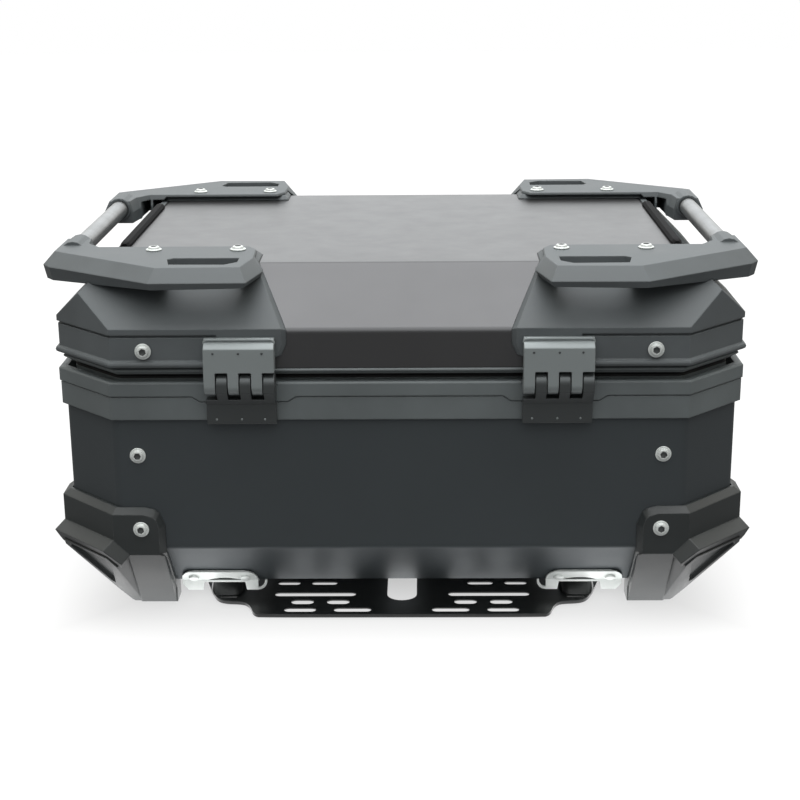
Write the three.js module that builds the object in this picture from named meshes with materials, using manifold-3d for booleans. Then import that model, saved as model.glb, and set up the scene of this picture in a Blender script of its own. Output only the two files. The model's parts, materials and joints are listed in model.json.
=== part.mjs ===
// A hard-shell motorcycle top case on its base plate: an aluminium tub with a moulded rim, a hinged
// aluminium lid with moulded corner covers, four handle brackets that hold two side tubes, a rear
// lock, and a rear catch that holds the case on the plate.
// Millimetres, +Z up. The origin is the centre of the base plate's underside. The hinges are at -Y,
// the locks at +Y, and the case is symmetric about X = 0 apart from the hinge knuckles.
import * as THREE from "three";
import { ConvexGeometry } from "three/addons/geometries/ConvexGeometry.js";
import { mergeVertices } from "three/addons/utils/BufferGeometryUtils.js";
import Module from "manifold-3d";

const wasm = await Module();
wasm.setup();

// ---- driving dimensions -------------------------------------------------------------------------

// Eight-sided outlines: half width, half depth, and x + y on the 45 degree corner face.
const RIM_SHAPE = { x: 294.5, y: 226.5, sum: 468.3 };
const LID_SHAPE = { x: 289.7, y: 226.5, sum: 464.3 };
const GUARD_SHAPE = { x: 295, y: 226.5, sum: 470.6 };
const DIAGONAL = Math.SQRT2;
const BEND = Math.SQRT2 - 1; // tan(22.5 degrees)
const GAP = 0.3; // running and assembly gap

const TUB = { inset: 3.5, wall: 2, floor: 20.5, crease: 71, top: 206.6 };
const RIM = { bottom: 187.6, step: 208.4, hingeStep: 204, top: 220.8, web: 207, proud: 1, line: 1 };
const LID = { bottom: 232.6, crease: 265, top: 310.6, halfX: 243, halfY: 172, wall: 2 };
const COVER = { skin: 4.5, bevel: 5, bottom: 239.8, beadLow: 234.3, grooveLow: 259.8, grooveHigh: 262 };
const COVER_EDGE = { topX: 118, lowX: 92, topY: 139, sideTopY: 108, sideLowY: 80, round: 14 };
const GUARD = { skin: 7.5, slopeSkin: 7.8, edge: 1, bevel: 4.6, inner: 202, top: 108.9, round: 17 };
const FOOT = { lip: 15, bottom: 1, deep: 21, inner: 203, outer: 234, edge: 240 };
const WEDGE = { high: 65, highSum: 484.5, low: 14, lowSum: 434, highHalf: 23, midHalf: 28, mid: 56.5 };
const HINGE = { y: -236, z: 222, inner: 102.3, width: 58.3, knuckle: 9.5, top: 260.4, bottom: 185.4 };
const KNUCKLES = 6;
const FINGER = { low: 208.5, high: 233 }; // a leaf's plate ends here, and its fingers go on
const PIN_RADIUS = 2.6;
const BRACKET = { top: 317.7, middle: 307, screwInner: 138.9, screwOuter: 211.4, screwY: 152.5 };
const TUBE = { x: 286.5, z: 309.8, radius: 8.5, halfLength: 122, collar: 11.3, collarEnd: 95 };
const STRIP = { halfLength: 104, inner: 241, outer: 250.5, top: 315 };
const PLATE = { top: 3.5, sheet: 1.6, front: -212, rear: 197, halfFront: 132, earX: 181, hem: 2.4 };
const CLIP = { inner: 129, outer: 197, low: 12, lapTop: 35.5, face: 177.5, sheet: 2 };
const STAY = { x: 261, width: 20, thickness: 1.6, anchorY: -100, drop: 34, opening: 95 };
const LOCK = { halfWidth: 42, bottom: 150, top: 226, face: 250, axisZ: 190, barrel: 9, pinOrbit: 22 };
const CATCH = { halfWidth: 45, bottom: 22.4, face: 219.5, boltZ: 29, boltHalf: 3.2, tabY: 190 };
const SCREW = { flange: 6.8, head: 5.4, shank: 2.6, hole: 3.1, length: 8, bracketLength: 14 };

// ---- materials ----------------------------------------------------------------------------------

const finish = (color, roughness, metalness) =>
  new THREE.MeshStandardMaterial({ color, roughness, metalness });
const MATERIALS = {
  coatedAluminium: finish(0x22272a, 0.45, 0.4),
  lidAluminium: finish(0x4a4c4e, 0.35, 0.6),
  mouldedPlastic: finish(0x3a4042, 0.6, 0),
  blackMetal: finish(0x2a2d2e, 0.45, 0.7),
  platedSteel: finish(0xd8dcdc, 0.3, 1),
  tubeAluminium: finish(0xc8cccc, 0.35, 0.9),
  steelPlate: finish(0x0c0e10, 0.5, 0.4),
  rubber: finish(0x101214, 0.9, 0),
  webbing: finish(0x15171a, 0.95, 0),
};

// ---- solids -------------------------------------------------------------------------------------

// A closed three.js geometry as a solid that can be joined and cut.
function solid(geometry) {
  const loose = geometry.index ? geometry.toNonIndexed() : geometry;
  const bare = new THREE.BufferGeometry().setAttribute("position", loose.getAttribute("position"));
  const merged = mergeVertices(bare, 1e-3);
  const triVerts = new Uint32Array(merged.index.array);
  if (signedVolume(merged) < 0) reverse(triVerts);
  const vertProperties = merged.attributes.position.array;
  return new wasm.Manifold(new wasm.Mesh({ numProp: 3, vertProperties, triVerts }));
}

function signedVolume(geometry) {
  const [a, b, c] = [new THREE.Vector3(), new THREE.Vector3(), new THREE.Vector3()];
  const { index } = geometry;
  const points = geometry.attributes.position;
  let volume = 0;
  for (let i = 0; i < index.count; i += 3) {
    a.fromBufferAttribute(points, index.getX(i));
    b.fromBufferAttribute(points, index.getX(i + 1));
    c.fromBufferAttribute(points, index.getX(i + 2));
    volume += a.dot(b.cross(c)) / 6;
  }
  return volume;
}

function reverse(triVerts) {
  for (let i = 0; i < triVerts.length; i += 3) {
    [triVerts[i + 1], triVerts[i + 2]] = [triVerts[i + 2], triVerts[i + 1]];
  }
}

function geometryOf(manifold) {
  const mesh = manifold.getMesh();
  const geometry = new THREE.BufferGeometry();
  geometry.setAttribute("position", new THREE.BufferAttribute(mesh.vertProperties, 3));
  geometry.setIndex(new THREE.BufferAttribute(mesh.triVerts, 1));
  geometry.computeVertexNormals();
  return geometry;
}

const join = (first, ...others) => others.reduce((sum, other) => sum.add(other), first);
const cut = (first, ...others) => others.reduce((rest, other) => rest.subtract(other), first);

const hull = (points) => solid(new ConvexGeometry(points.map((p) => new THREE.Vector3(...p))));

const placed = (geometry, matrix) => solid(geometry.applyMatrix4(matrix));

function extrusion(points, depth, holes = []) {
  const shape = new THREE.Shape(points.map(([u, v]) => new THREE.Vector2(u, v)));
  shape.holes = holes.map((hole) => new THREE.Path(hole.map(([u, v]) => new THREE.Vector2(u, v))));
  return new THREE.ExtrudeGeometry(shape, { depth, bevelEnabled: false });
}

// An outline in X and Y, raised from z0 to z1.
function prismZ(points, z0, z1, holes) {
  return placed(extrusion(points, z1 - z0, holes), new THREE.Matrix4().makeTranslation(0, 0, z0));
}

// An outline in Y and Z, drawn out from x0 to x1.
function prismX(points, x0, x1) {
  const turn = new THREE.Matrix4().makeBasis(
    new THREE.Vector3(0, 1, 0),
    new THREE.Vector3(0, 0, 1),
    new THREE.Vector3(1, 0, 0),
  );
  return placed(extrusion(points, x1 - x0), turn.setPosition(x0, 0, 0));
}

// An outline in X and Z, drawn out from y0 to y1.
function prismY(points, y0, y1) {
  const turn = new THREE.Matrix4().makeBasis(
    new THREE.Vector3(1, 0, 0),
    new THREE.Vector3(0, 0, 1),
    new THREE.Vector3(0, -1, 0),
  );
  return placed(extrusion(points, y1 - y0), turn.setPosition(0, y1, 0));
}

function block([x0, x1], [y0, y1], [z0, z1]) {
  const middle = new THREE.Matrix4().makeTranslation((x0 + x1) / 2, (y0 + y1) / 2, (z0 + z1) / 2);
  return placed(new THREE.BoxGeometry(x1 - x0, y1 - y0, z1 - z0), middle);
}

// A cylinder between two places along one axis: "x", "y" or "z".
function rod(axis, radius, [x, y, z], length, sides = 16) {
  const geometry = new THREE.CylinderGeometry(radius, radius, length, sides);
  if (axis === "x") geometry.rotateZ(Math.PI / 2);
  if (axis === "z") geometry.rotateX(Math.PI / 2);
  return placed(geometry, new THREE.Matrix4().makeTranslation(x, y, z));
}

function mirrored(manifold, sx, sy) {
  return placed(geometryOf(manifold), new THREE.Matrix4().makeScale(sx, sy, 1));
}

// Points on an arc about a centre, from one angle to another in degrees.
function arc(centreU, centreV, radius, from, to, steps) {
  return Array.from({ length: steps + 1 }, (_, i) => {
    const angle = THREE.MathUtils.degToRad(from + ((to - from) * i) / steps);
    return [centreU + radius * Math.cos(angle), centreV + radius * Math.sin(angle)];
  });
}

// ---- the eight-sided outline --------------------------------------------------------------------

// The two ends of the corner face where x and y are positive, set in by a distance from the outline.
function cornerEnds(inset, shape = RIM_SHAPE) {
  const sum = shape.sum - DIAGONAL * inset;
  return [
    [sum - (shape.y - inset), shape.y - inset],
    [shape.x - inset, sum - (shape.x - inset)],
  ];
}

// The whole outline, set in by a distance, as eight points round the case.
function outline(inset, shape) {
  const [nearY, nearX] = cornerEnds(inset, shape);
  const quadrants = [
    [1, 1, nearX, nearY],
    [-1, 1, nearY, nearX],
    [-1, -1, nearX, nearY],
    [1, -1, nearY, nearX],
  ];
  return quadrants.flatMap(([sx, sy, first, second]) => [
    [sx * first[0], sy * first[1]],
    [sx * second[0], sy * second[1]],
  ]);
}

const outlineAt = (inset, z) => outline(inset).map(([x, y]) => [x, y, z]);

// Joins equal rings of points into one closed surface; without `closed` its two ends are capped.
function skinned(rings, profile, closed) {
  const size = profile.length;
  const positions = rings.flat(2);
  const index = [];
  const last = closed ? rings.length : rings.length - 1;
  for (let i = 0; i < last; i++) {
    const here = i * size;
    const next = ((i + 1) % rings.length) * size;
    for (let j = 0; j < size; j++) {
      const k = (j + 1) % size;
      index.push(here + j, next + j, next + k, here + j, next + k, here + k);
    }
  }
  if (!closed) {
    const flat = profile.map(([u, v]) => new THREE.Vector2(u, v));
    const end = (rings.length - 1) * size;
    const turn = THREE.ShapeUtils.isClockWise(flat) ? 1 : -1;
    THREE.ShapeUtils.triangulateShape(flat, []).forEach(([a, b, c]) => {
      const [p, q] = turn > 0 ? [b, c] : [c, b];
      index.push(a, q, p, end + a, end + p, end + q);
    });
  }
  const geometry = new THREE.BufferGeometry();
  geometry.setAttribute("position", new THREE.Float32BufferAttribute(positions, 3));
  geometry.setIndex(index);
  return solid(geometry);
}

// A profile of [inset, z] points swept right round the case.
function hoop(profile, shape) {
  const corners = profile.map(([inset]) => outline(inset, shape));
  const rings = Array.from({ length: 8 }, (_, i) =>
    profile.map(([, z], j) => [...corners[j][i], z]),
  );
  return skinned(rings, profile, true);
}

// A profile swept round one corner of the lid: from x = startX on the long face to y = endY on the side.
function lidCornerStrip(profile, startX, endY) {
  const start = profile.map(([inset, z]) => [startX, LID_SHAPE.y - inset, z]);
  const nearY = profile.map(([inset, z]) => [...cornerEnds(inset, LID_SHAPE)[0], z]);
  const nearX = profile.map(([inset, z]) => [...cornerEnds(inset, LID_SHAPE)[1], z]);
  const end = profile.map(([inset, z]) => [LID_SHAPE.x - inset, endY, z]);
  return skinned([start, nearY, nearX, end], profile, false);
}

// Swaps the two faces that meet at a guard's corner: the guard is its own mirror image.
const GUARD_SHIFT = GUARD_SHAPE.x - GUARD_SHAPE.y;
const acrossCorner = ([x, y, z]) => [y + GUARD_SHIFT, x - GUARD_SHIFT, z];

// ---- tub ----------------------------------------------------------------------------------------

// The tub's outside, grown outwards by a distance; `top` is where it ends.
function tubEnvelope(grow, top) {
  const wall = TUB.inset - grow;
  const crease = TUB.crease - BEND * grow;
  const floor = TUB.floor - grow;
  return hull([
    ...outlineAt(wall, top),
    ...outlineAt(wall, crease),
    ...outlineAt(wall + crease - floor, floor),
  ]);
}

const SCREW_HOLES = {
  body: { x: 222.2, z: 155.3 },
  guard: { x: 221.6, z: 91.2 },
  cover: { x: 211.6, z: 248.6 },
};

// One drilling through the front and the rear wall at the same place.
function wallDrilling({ x, z }) {
  return [-1, 1].map((side) => rod("y", SCREW.hole, [side * x, 0, z], 3 * RIM_SHAPE.y, 10));
}

function bodyShell() {
  const holes = [...wallDrilling(SCREW_HOLES.body), ...wallDrilling(SCREW_HOLES.guard)];
  return cut(tubEnvelope(0, TUB.top), tubEnvelope(-TUB.wall, TUB.top + 1), ...holes);
}

function bodyRim() {
  const outer = RIM.step;
  const frame = hoop([
    [0, RIM.bottom],
    [0, outer - RIM.line],
    [RIM.line, outer - RIM.line],
    [RIM.line, outer],
    [-RIM.proud, outer],
    [-RIM.proud, RIM.top - 1.4],
    [0.4, RIM.top],
    [6.5, RIM.top],
    [6.5, RIM.web + 6],
    [13, RIM.web + 6],
    [13, RIM.top],
    [17, RIM.top],
    [17, RIM.web],
    [12, RIM.web],
    [12, RIM.web - 12],
    [TUB.inset + TUB.wall + 0.4, RIM.web - 12],
    [TUB.inset + TUB.wall + 0.4, RIM.web],
    [TUB.inset - 0.4, RIM.web],
    [TUB.inset - 0.4, RIM.bottom],
  ]);
  const padded = join(frame, ...[-1, 1].map(hingePad));
  return cut(padded, ...[-1, 1].map(hingePadLine), ...[-1, 1].map(knuckleRelief));
}

// The raised band of the rim comes lower round each hinge, with 45 degree ends. Its lower edge is the
// same height below the band's as `drop`.
function hingePadOutline(side, drop) {
  const [inner, outer] = [HINGE.inner - 9, HINGE.inner + HINGE.width + 6];
  const slant = 7;
  return [
    [side * (inner - slant), RIM.step + 1],
    [side * (inner - slant), RIM.step - drop],
    [side * inner, RIM.hingeStep - drop],
    [side * outer, RIM.hingeStep - drop],
    [side * (outer + slant), RIM.step - drop],
    [side * (outer + slant), RIM.step + 1],
  ];
}

function hingePad(side) {
  return prismY(hingePadOutline(side, 0), -RIM_SHAPE.y - RIM.proud, -RIM_SHAPE.y + 2);
}

// The thin dark line under the pad.
function hingePadLine(side) {
  const below = prismY(hingePadOutline(side, RIM.line), -RIM_SHAPE.y - 0.1, -RIM_SHAPE.y + RIM.line);
  return cut(below, prismY(hingePadOutline(side, 0), -RIM_SHAPE.y - 3, -RIM_SHAPE.y + 3));
}

// The rim gives way behind the knuckles so that they can turn.
function knuckleRelief(side) {
  const middle = side * (HINGE.inner + HINGE.width / 2);
  return rod("x", HINGE.knuckle + 0.5, [middle, HINGE.y, HINGE.z], HINGE.width + 1.2, 24);
}

function rimSeal() {
  const low = RIM.top + GAP;
  return hoop([
    [12.2, low],
    [12.2, low + 5],
    [13.5, low + 8.5],
    [16.5, low + 8.5],
    [17.8, low + 5],
    [17.8, low],
  ]);
}

function floorMat() {
  const inset = TUB.inset + TUB.crease - TUB.floor + 7;
  const low = TUB.floor + TUB.wall + GAP;
  return hull([...outlineAt(inset, low), ...outlineAt(inset, low + 3)]);
}

// ---- lower corner guards ------------------------------------------------------------------------

const WITHIN = 3; // how far the guard's blank reaches into the tub before it is cut back

// How far in the tub's 45 degree slope is at a height, grown outwards by a distance.
const slopeInset = (grow, z) => TUB.inset + TUB.crease - z - DIAGONAL * grow;

// Where the guard's wall turns into its slope.
const GUARD_CREASE = TUB.crease + GUARD.skin - DIAGONAL * GUARD.slopeSkin;

// The guard's section: a skin on the wall and on its 45 degree slope, ending in a foot lip.
function guardSection(skin, edgeTop, faceTop) {
  const outer = TUB.inset - skin;
  const inner = TUB.inset + WITHIN;
  const lip = slopeInset(GUARD.slopeSkin, FOOT.lip);
  return [
    [inner, edgeTop],
    [TUB.inset - GUARD.edge, edgeTop],
    [outer, faceTop],
    [outer, Math.min(GUARD_CREASE, faceTop - 1)],
    [lip, FOOT.lip],
    [lip, FOOT.bottom],
    [lip + FOOT.deep, FOOT.bottom],
    [lip + FOOT.deep, TUB.floor + WITHIN],
    [slopeInset(-WITHIN, TUB.floor + WITHIN), TUB.floor + WITHIN],
    [inner, TUB.crease + BEND * WITHIN],
  ];
}

// Sections along the long face, where the raised face starts inside a rounded, bevelled corner.
function guardFaceSections() {
  const { inner, round, skin, edge, top, bevel } = GUARD;
  const rise = (radius, across) => Math.sqrt(Math.max(radius ** 2 - across ** 2, 0));
  return [0, bevel, 1.5 * bevel, 2 * bevel, round].map((step) => {
    const across = round - step;
    const edgeTop = top - round + rise(round, across);
    const faceTop = top - round + rise(round - bevel, across);
    return { x: inner + step, section: guardSection(step ? skin : edge + 0.01, edgeTop, faceTop - 0.01) };
  });
}

function guardShell() {
  const full = guardSection(GUARD.skin, GUARD.top, GUARD.top - GUARD.bevel);
  const onFace = guardFaceSections().map(({ x, section }) =>
    section.map(([inset, z]) => [x, GUARD_SHAPE.y - inset, z]),
  );
  const onSide = [...onFace].reverse().map((ring) => ring.map(acrossCorner));
  const ends = [0, 1].map((end) =>
    full.map(([inset, z]) => [...cornerEnds(inset, GUARD_SHAPE)[end], z]),
  );
  return skinned([...onFace, ...ends, ...onSide], full, false);
}

// The foot keeps its width all the way down, with a chamfered outer side.
function guardFoot() {
  const at = (x, grow) => {
    const lip = GUARD_SHAPE.y - slopeInset(grow, FOOT.lip);
    return [
      [x, GUARD_SHAPE.y - slopeInset(grow, GUARD_CREASE), GUARD_CREASE],
      [x, lip, FOOT.lip],
      [x, lip, FOOT.bottom],
      [x, lip - FOOT.deep, FOOT.bottom],
      [x, lip - FOOT.deep, TUB.floor],
    ];
  };
  return [
    ...at(FOOT.inner, GUARD.slopeSkin),
    ...at(FOOT.outer, GUARD.slopeSkin),
    ...at(FOOT.edge, GUARD.slopeSkin - 4),
  ];
}

// The bumper ledge stands out from the corner, with a slanting front end.
function guardLedge() {
  const face = GUARD_SHAPE.y - TUB.inset + GUARD.skin;
  const half = [
    [246.5, face, 81],
    [254.5, 238, 74],
    [252.5, 235.5, 70],
    [232.5, face, 67],
    [239, 237.5, 61.2],
    [239.5, 234.5, 57.5],
    [240, 225, 57],
  ];
  return hull([...half, ...half.map(acrossCorner)]);
}

// A point on the wedge's slope at a height, some way left or right of its middle, moved out of the slope.
function wedgePoint(z, across, out = 0) {
  const { high, low, highSum, lowSum } = WEDGE;
  const run = (highSum - lowSum) / (high - low);
  const length = Math.hypot(run / DIAGONAL, 1);
  const sum = lowSum + run * (z - low) + (DIAGONAL * out) / length;
  const height = z - (out * run) / DIAGONAL / length;
  return [(sum + GUARD_SHIFT) / 2 - across, (sum - GUARD_SHIFT) / 2 + across, height];
}

// Below the ledge the corner slopes in to the feet, where the two lips meet.
function guardWedge() {
  const lip = GUARD_SHAPE.y - slopeInset(GUARD.slopeSkin, FOOT.lip);
  const half = [
    wedgePoint(WEDGE.high, WEDGE.highHalf),
    wedgePoint(WEDGE.mid, WEDGE.midHalf),
    wedgePoint(WEDGE.low, 1),
    [241, lip - 2.5, FOOT.bottom],
    [FOOT.outer, lip - 2, FOOT.bottom],
    [FOOT.outer, lip - 1, FOOT.lip],
    [FOOT.outer, 206, 46],
    [FOOT.outer, 221, 61],
    [FOOT.outer, 165, 24],
  ];
  return hull([...half, ...half.map(acrossCorner)]);
}

// The three-cornered panel sunk into the wedge's slope.
function guardPanel() {
  const border = 5.5;
  const corners = [-3.5, 6].flatMap((out) => [
    wedgePoint(WEDGE.high - 3, WEDGE.highHalf - border, out),
    wedgePoint(WEDGE.mid, WEDGE.midHalf - border, out),
    wedgePoint(WEDGE.low + 11, 2, out),
  ]);
  return hull([...corners, ...corners.map(acrossCorner)]);
}

function cornerGuard() {
  const foot = guardFoot();
  const feet = [hull(foot), hull(foot.map(acrossCorner))];
  const whole = join(guardShell(), ...feet, cut(guardWedge(), guardPanel()), guardLedge());
  const { x, z } = SCREW_HOLES.guard;
  const drilling = rod("y", SCREW.hole, [x, GUARD_SHAPE.y, z], 40, 10);
  return cut(whole, tubEnvelope(GAP, TUB.top), drilling);
}

// ---- lid ----------------------------------------------------------------------------------------

// The lid's outside as planes, moved outwards by `grow`; it gives the corner points of one quadrant.
function lidPoints(grow, bottom) {
  const fall = LID.top - LID.crease;
  const plane = (run, reach) => {
    const length = Math.hypot(fall, run);
    return { out: fall / length, up: run / length, offset: (fall * reach + run * LID.top) / length };
  };
  const long = plane(LID_SHAPE.y - LID.halfY, LID.halfY);
  const side = plane(LID_SHAPE.x - LID.halfX, LID.halfX);
  const reachAt = (face, z) => (face.offset + grow - face.up * z) / face.out;
  const heightAt = (face, reach) => (face.offset + grow - face.out * reach) / face.up;
  const top = LID.top + grow;
  const [nearY, nearX] = cornerEnds(-grow, LID_SHAPE);
  const sum = LID_SHAPE.sum + DIAGONAL * grow;
  const spread = (z) => reachAt(long, z) + reachAt(side, z) - sum;
  const slope = -long.up / long.out - side.up / side.out;
  const peakZ = top - spread(top) / slope;
  return {
    top: [reachAt(side, top), reachAt(long, top), top],
    peak: [reachAt(side, peakZ), reachAt(long, peakZ), peakZ],
    longCrease: [...nearY, heightAt(long, nearY[1])],
    sideCrease: [...nearX, heightAt(side, nearX[0])],
    longFoot: [...nearY, bottom],
    sideFoot: [...nearX, bottom],
    longSlope: (x, y) => [x, y, heightAt(long, y)],
    sideSlope: (x, y) => [x, y, heightAt(side, x)],
  };
}

const QUADRANTS = [[1, 1], [-1, 1], [-1, -1], [1, -1]];

function lidEnvelope(grow, bottom) {
  const p = lidPoints(grow, bottom);
  const quadrant = [p.top, p.peak, p.longCrease, p.sideCrease, p.longFoot, p.sideFoot];
  return hull(QUADRANTS.flatMap(([sx, sy]) => quadrant.map(([x, y, z]) => [sx * x, sy * y, z])));
}

// The vertical drillings for the bracket screws in one quadrant.
function bracketDrillings() {
  return [BRACKET.screwInner, BRACKET.screwOuter].map((x) =>
    rod("z", SCREW.hole, [x, BRACKET.screwY, LID.top], 40, 10),
  );
}

function lidSkin() {
  const topHoles = QUADRANTS.flatMap(([sx, sy]) => bracketDrillings().map((d) => mirrored(d, sx, sy)));
  const shell = cut(lidEnvelope(0, LID.bottom), lidEnvelope(-LID.wall, LID.bottom - 5));
  return cut(shell, ...topHoles, ...wallDrilling(SCREW_HOLES.cover));
}

function lidFrame() {
  const top = LID.bottom - GAP;
  const upstand = top + 5;
  const profile = [
    [0.2, top],
    [-1, top - 1.3],
    [-1, 230.5],
    [0.2, 229.2],
    [4, 229.2],
    [4, 226.6],
    [7, 226.6],
    [7, 231],
    [18, 231],
    [18, 234],
    [5.5, 234],
    [5.5, upstand],
    [LID.wall + GAP, upstand],
    [LID.wall + GAP, top],
  ];
  return hoop(profile, LID_SHAPE);
}

// ---- lid corner covers --------------------------------------------------------------------------

// The part of a cover on the lid's top, long slope and long face, with a bevelled inner edge.
function coverLongPart() {
  const { topX, lowX, topY, round } = COVER_EDGE;
  const layer = (grow, inset) => {
    const p = lidPoints(grow, COVER.bottom);
    const faceY = p.longCrease[1];
    const inner = lowX + inset;
    return [
      [topX + inset, topY + inset, p.top[2]],
      [p.top[0], topY + inset, p.top[2]],
      [topX + inset, p.top[1], p.top[2]],
      p.longSlope(inner, faceY),
      [inner, faceY, COVER.bottom + round],
      [inner + 0.3 * round, faceY, COVER.bottom + 0.3 * round],
      [inner + round, faceY, COVER.bottom],
      p.top,
      p.peak,
      p.longCrease,
      p.sideCrease,
      p.longFoot,
      p.sideFoot,
    ];
  };
  return hull([...layer(-0.5, 0), ...layer(COVER.skin, COVER.bevel)]);
}

// The part of a cover on the lid's side slope and side face.
function coverSidePart() {
  const { sideTopY, sideLowY } = COVER_EDGE;
  const layer = (grow, inset) => {
    const p = lidPoints(grow, COVER.bottom);
    const faceX = p.sideCrease[0];
    return [
      p.sideSlope(p.top[0] + inset, sideTopY + inset),
      p.sideSlope(p.top[0] + inset, p.top[1]),
      p.sideSlope(faceX, sideLowY + inset),
      [faceX, sideLowY + inset, COVER.bottom],
      p.peak,
      p.longCrease,
      p.sideCrease,
      p.longFoot,
      p.sideFoot,
    ];
  };
  return hull([...layer(-0.5, 0), ...layer(COVER.skin, COVER.bevel)]);
}

// The rounded bead along a cover's lower edge.
function coverBead(startX) {
  const low = COVER.beadLow;
  const high = COVER.bottom + GAP;
  const section = [
    [-1.3, high],
    [-4, high],
    [-6, high - 1],
    [-6.8, high - 3],
    [-6.2, low + 1],
    [-4.6, low],
    [-1.3, low],
  ];
  return lidCornerStrip(section, startX, COVER_EDGE.sideLowY + 6);
}

// The groove under the crease, and the face below it that sits slightly deeper.
function coverGroove(startX) {
  const { skin, grooveLow, grooveHigh, bottom } = COVER;
  const groove = [
    [-skin - 2, grooveHigh],
    [-skin + 2.8, grooveHigh],
    [-skin + 2.8, grooveLow],
    [-skin + 1, grooveLow],
    [-skin + 1, bottom + GAP],
    [-skin - 2, bottom + GAP],
  ];
  return lidCornerStrip(groove, startX, COVER_EDGE.sideLowY + 9);
}

// A cover for the hinge side has to start its bead and groove outside the hinge.
function lidCover(onHingeSide) {
  const hingeOuter = HINGE.inner + HINGE.width;
  const beadStart = onHingeSide ? hingeOuter + 1 : COVER_EDGE.lowX + COVER_EDGE.round;
  const grooveStart = onHingeSide ? hingeOuter - 10 : COVER_EDGE.lowX + 2 * COVER_EDGE.round;
  const whole = join(coverLongPart(), coverSidePart(), coverBead(beadStart));
  const { x, z } = SCREW_HOLES.cover;
  const drilling = rod("y", SCREW.hole, [x, LID_SHAPE.y, z], 40, 10);
  const lid = lidEnvelope(GAP, COVER.beadLow - 1);
  return cut(whole, lid, coverGroove(grooveStart), drilling, ...bracketDrillings());
}

function sideStrip() {
  const { inner, outer, top, halfLength } = STRIP;
  const lid = lidPoints(GAP, LID.bottom);
  const section = (inset, lift) => [
    [inner + inset, LID.top + GAP],
    [inner + inset, top - 2.5 - lift],
    [inner + 2 + inset, top - lift],
    [outer - 2 - inset, top - lift],
    [outer - inset, top - 2.5 - lift],
    [outer - inset, lid.sideSlope(outer - inset, 0)[2]],
    [lid.top[0], LID.top + GAP],
  ];
  const stations = [
    [-halfLength, 1.5, 1.2],
    [-halfLength + 3, 0.4, 0.5],
    [-halfLength + 8, 0, 0],
    [halfLength - 8, 0, 0],
    [halfLength - 3, 0.4, 0.5],
    [halfLength, 1.5, 1.2],
  ];
  const rings = stations.map(([y, inset, lift]) => section(inset, lift).map(([x, z]) => [x, y, z]));
  return skinned(rings, section(0, 0), false);
}

// ---- handle brackets and tubes ------------------------------------------------------------------

// The bracket in plan at three heights: flat top, foot of the bevel, and underside. The arm that
// carries the tube hangs lower than the part on the lid.
const BRACKET_RINGS = [
  [[131, 137], [262, 137], [274, 120], [276, 98], [297, 98], [297, 153], [290, 159],
    [199, 226], [130, 224], [123, 188], [124, 150]].map(([x, y]) => [x, y, BRACKET.top]),
  [[127, 133], [261, 133], [270, 118], [273, 96], [302, 96], [306.5, 158], [299, 170],
    [204, 238], [124, 237], [114, 192], [118, 146]].map(([x, y]) => [x, y, BRACKET.middle]),
  [[129, 134, 300], [262, 134, 297], [271, 119, 295.5], [274, 97, 295.5], [300, 97, 295.5],
    [304, 157, 295], [297, 167, 295], [202, 235, 301], [127, 234, 302], [117, 191, 302], [120, 147, 301]],
];

const BRACKET_SLOT = [[134, 187], [189, 187], [194, 192], [190, 213], [144, 214], [134, 204]];

function handleBracket() {
  const body = skinned(BRACKET_RINGS, BRACKET_RINGS[1], false);
  const { collar, collarEnd, radius } = TUBE;
  const socket = rod("y", collar, [TUBE.x, collarEnd + 17.5, TUBE.z], 35);
  const bore = rod("y", radius + 0.6, [TUBE.x, collarEnd + 9, TUBE.z], 40);
  const slot = prismZ(BRACKET_SLOT, 290, BRACKET.top + 1);
  const ceiling = BRACKET.top - 5;
  const pockets = [
    block([248, 259], [120, 176], [290, ceiling]),
    block([261, 269], [120, 168], [290, ceiling]),
    block([140, 190], [217, 229], [290, ceiling - 4]),
  ];
  const keepOut = lidEnvelope(COVER.skin + GAP, 200);
  return cut(join(body, socket), bore, slot, keepOut, ...pockets, ...bracketDrillings());
}

function handleTube() {
  return rod("y", TUBE.radius, [TUBE.x, 0, TUBE.z], 2 * TUBE.halfLength, 20);
}

// ---- hinges -------------------------------------------------------------------------------------

const HINGE_REAR = { lower: -RIM_SHAPE.y - RIM.proud - GAP, upper: -LID_SHAPE.y - COVER.skin - GAP };

// The space that one knuckle of the other leaf turns in, counted from the low-X end, and the notch
// behind it in this leaf's plate.
function knuckleSpace(i, [low, high]) {
  const pitch = HINGE.width / KNUCKLES;
  const x0 = i * pitch - (i ? GAP : 2);
  const x1 = (i + 1) * pitch + (i < KNUCKLES - 1 ? GAP : 2);
  const turning = rod("x", HINGE.knuckle + 1.2, [(x0 + x1) / 2, HINGE.y, HINGE.z], x1 - x0, 16);
  return join(turning, block([x0, x1], [-270, -220], [low, high]));
}

function hingeLeaf(profile, rear, firstOther, notch) {
  const middle = [HINGE.width / 2, HINGE.y, HINGE.z];
  const barrel = rod("x", HINGE.knuckle, middle, HINGE.width, 20);
  const bore = rod("x", PIN_RADIUS + 0.2, middle, HINGE.width + 4, 12);
  const others = [firstOther, firstOther + 2, firstOther + 4].map((i) => knuckleSpace(i, notch));
  const behind = block([-1, HINGE.width + 1], [rear, -200], [150, 300]);
  return cut(join(prismX(profile, 0, HINGE.width), barrel), bore, behind, ...others);
}

function upperLeaf() {
  const rear = HINGE_REAR.upper;
  const { y, z, knuckle, top } = HINGE;
  const profile = [
    [rear, z + 7],
    [y, z],
    [y - knuckle, z],
    [y - knuckle + 2.5, top - 7.4],
    [rear - 8.6, top - 4.4],
    [rear - 5.5, top - 2.6],
    [rear - 5, top],
    [rear, top],
  ];
  return hingeLeaf(profile, rear, 1, [z, FINGER.high]);
}

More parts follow.
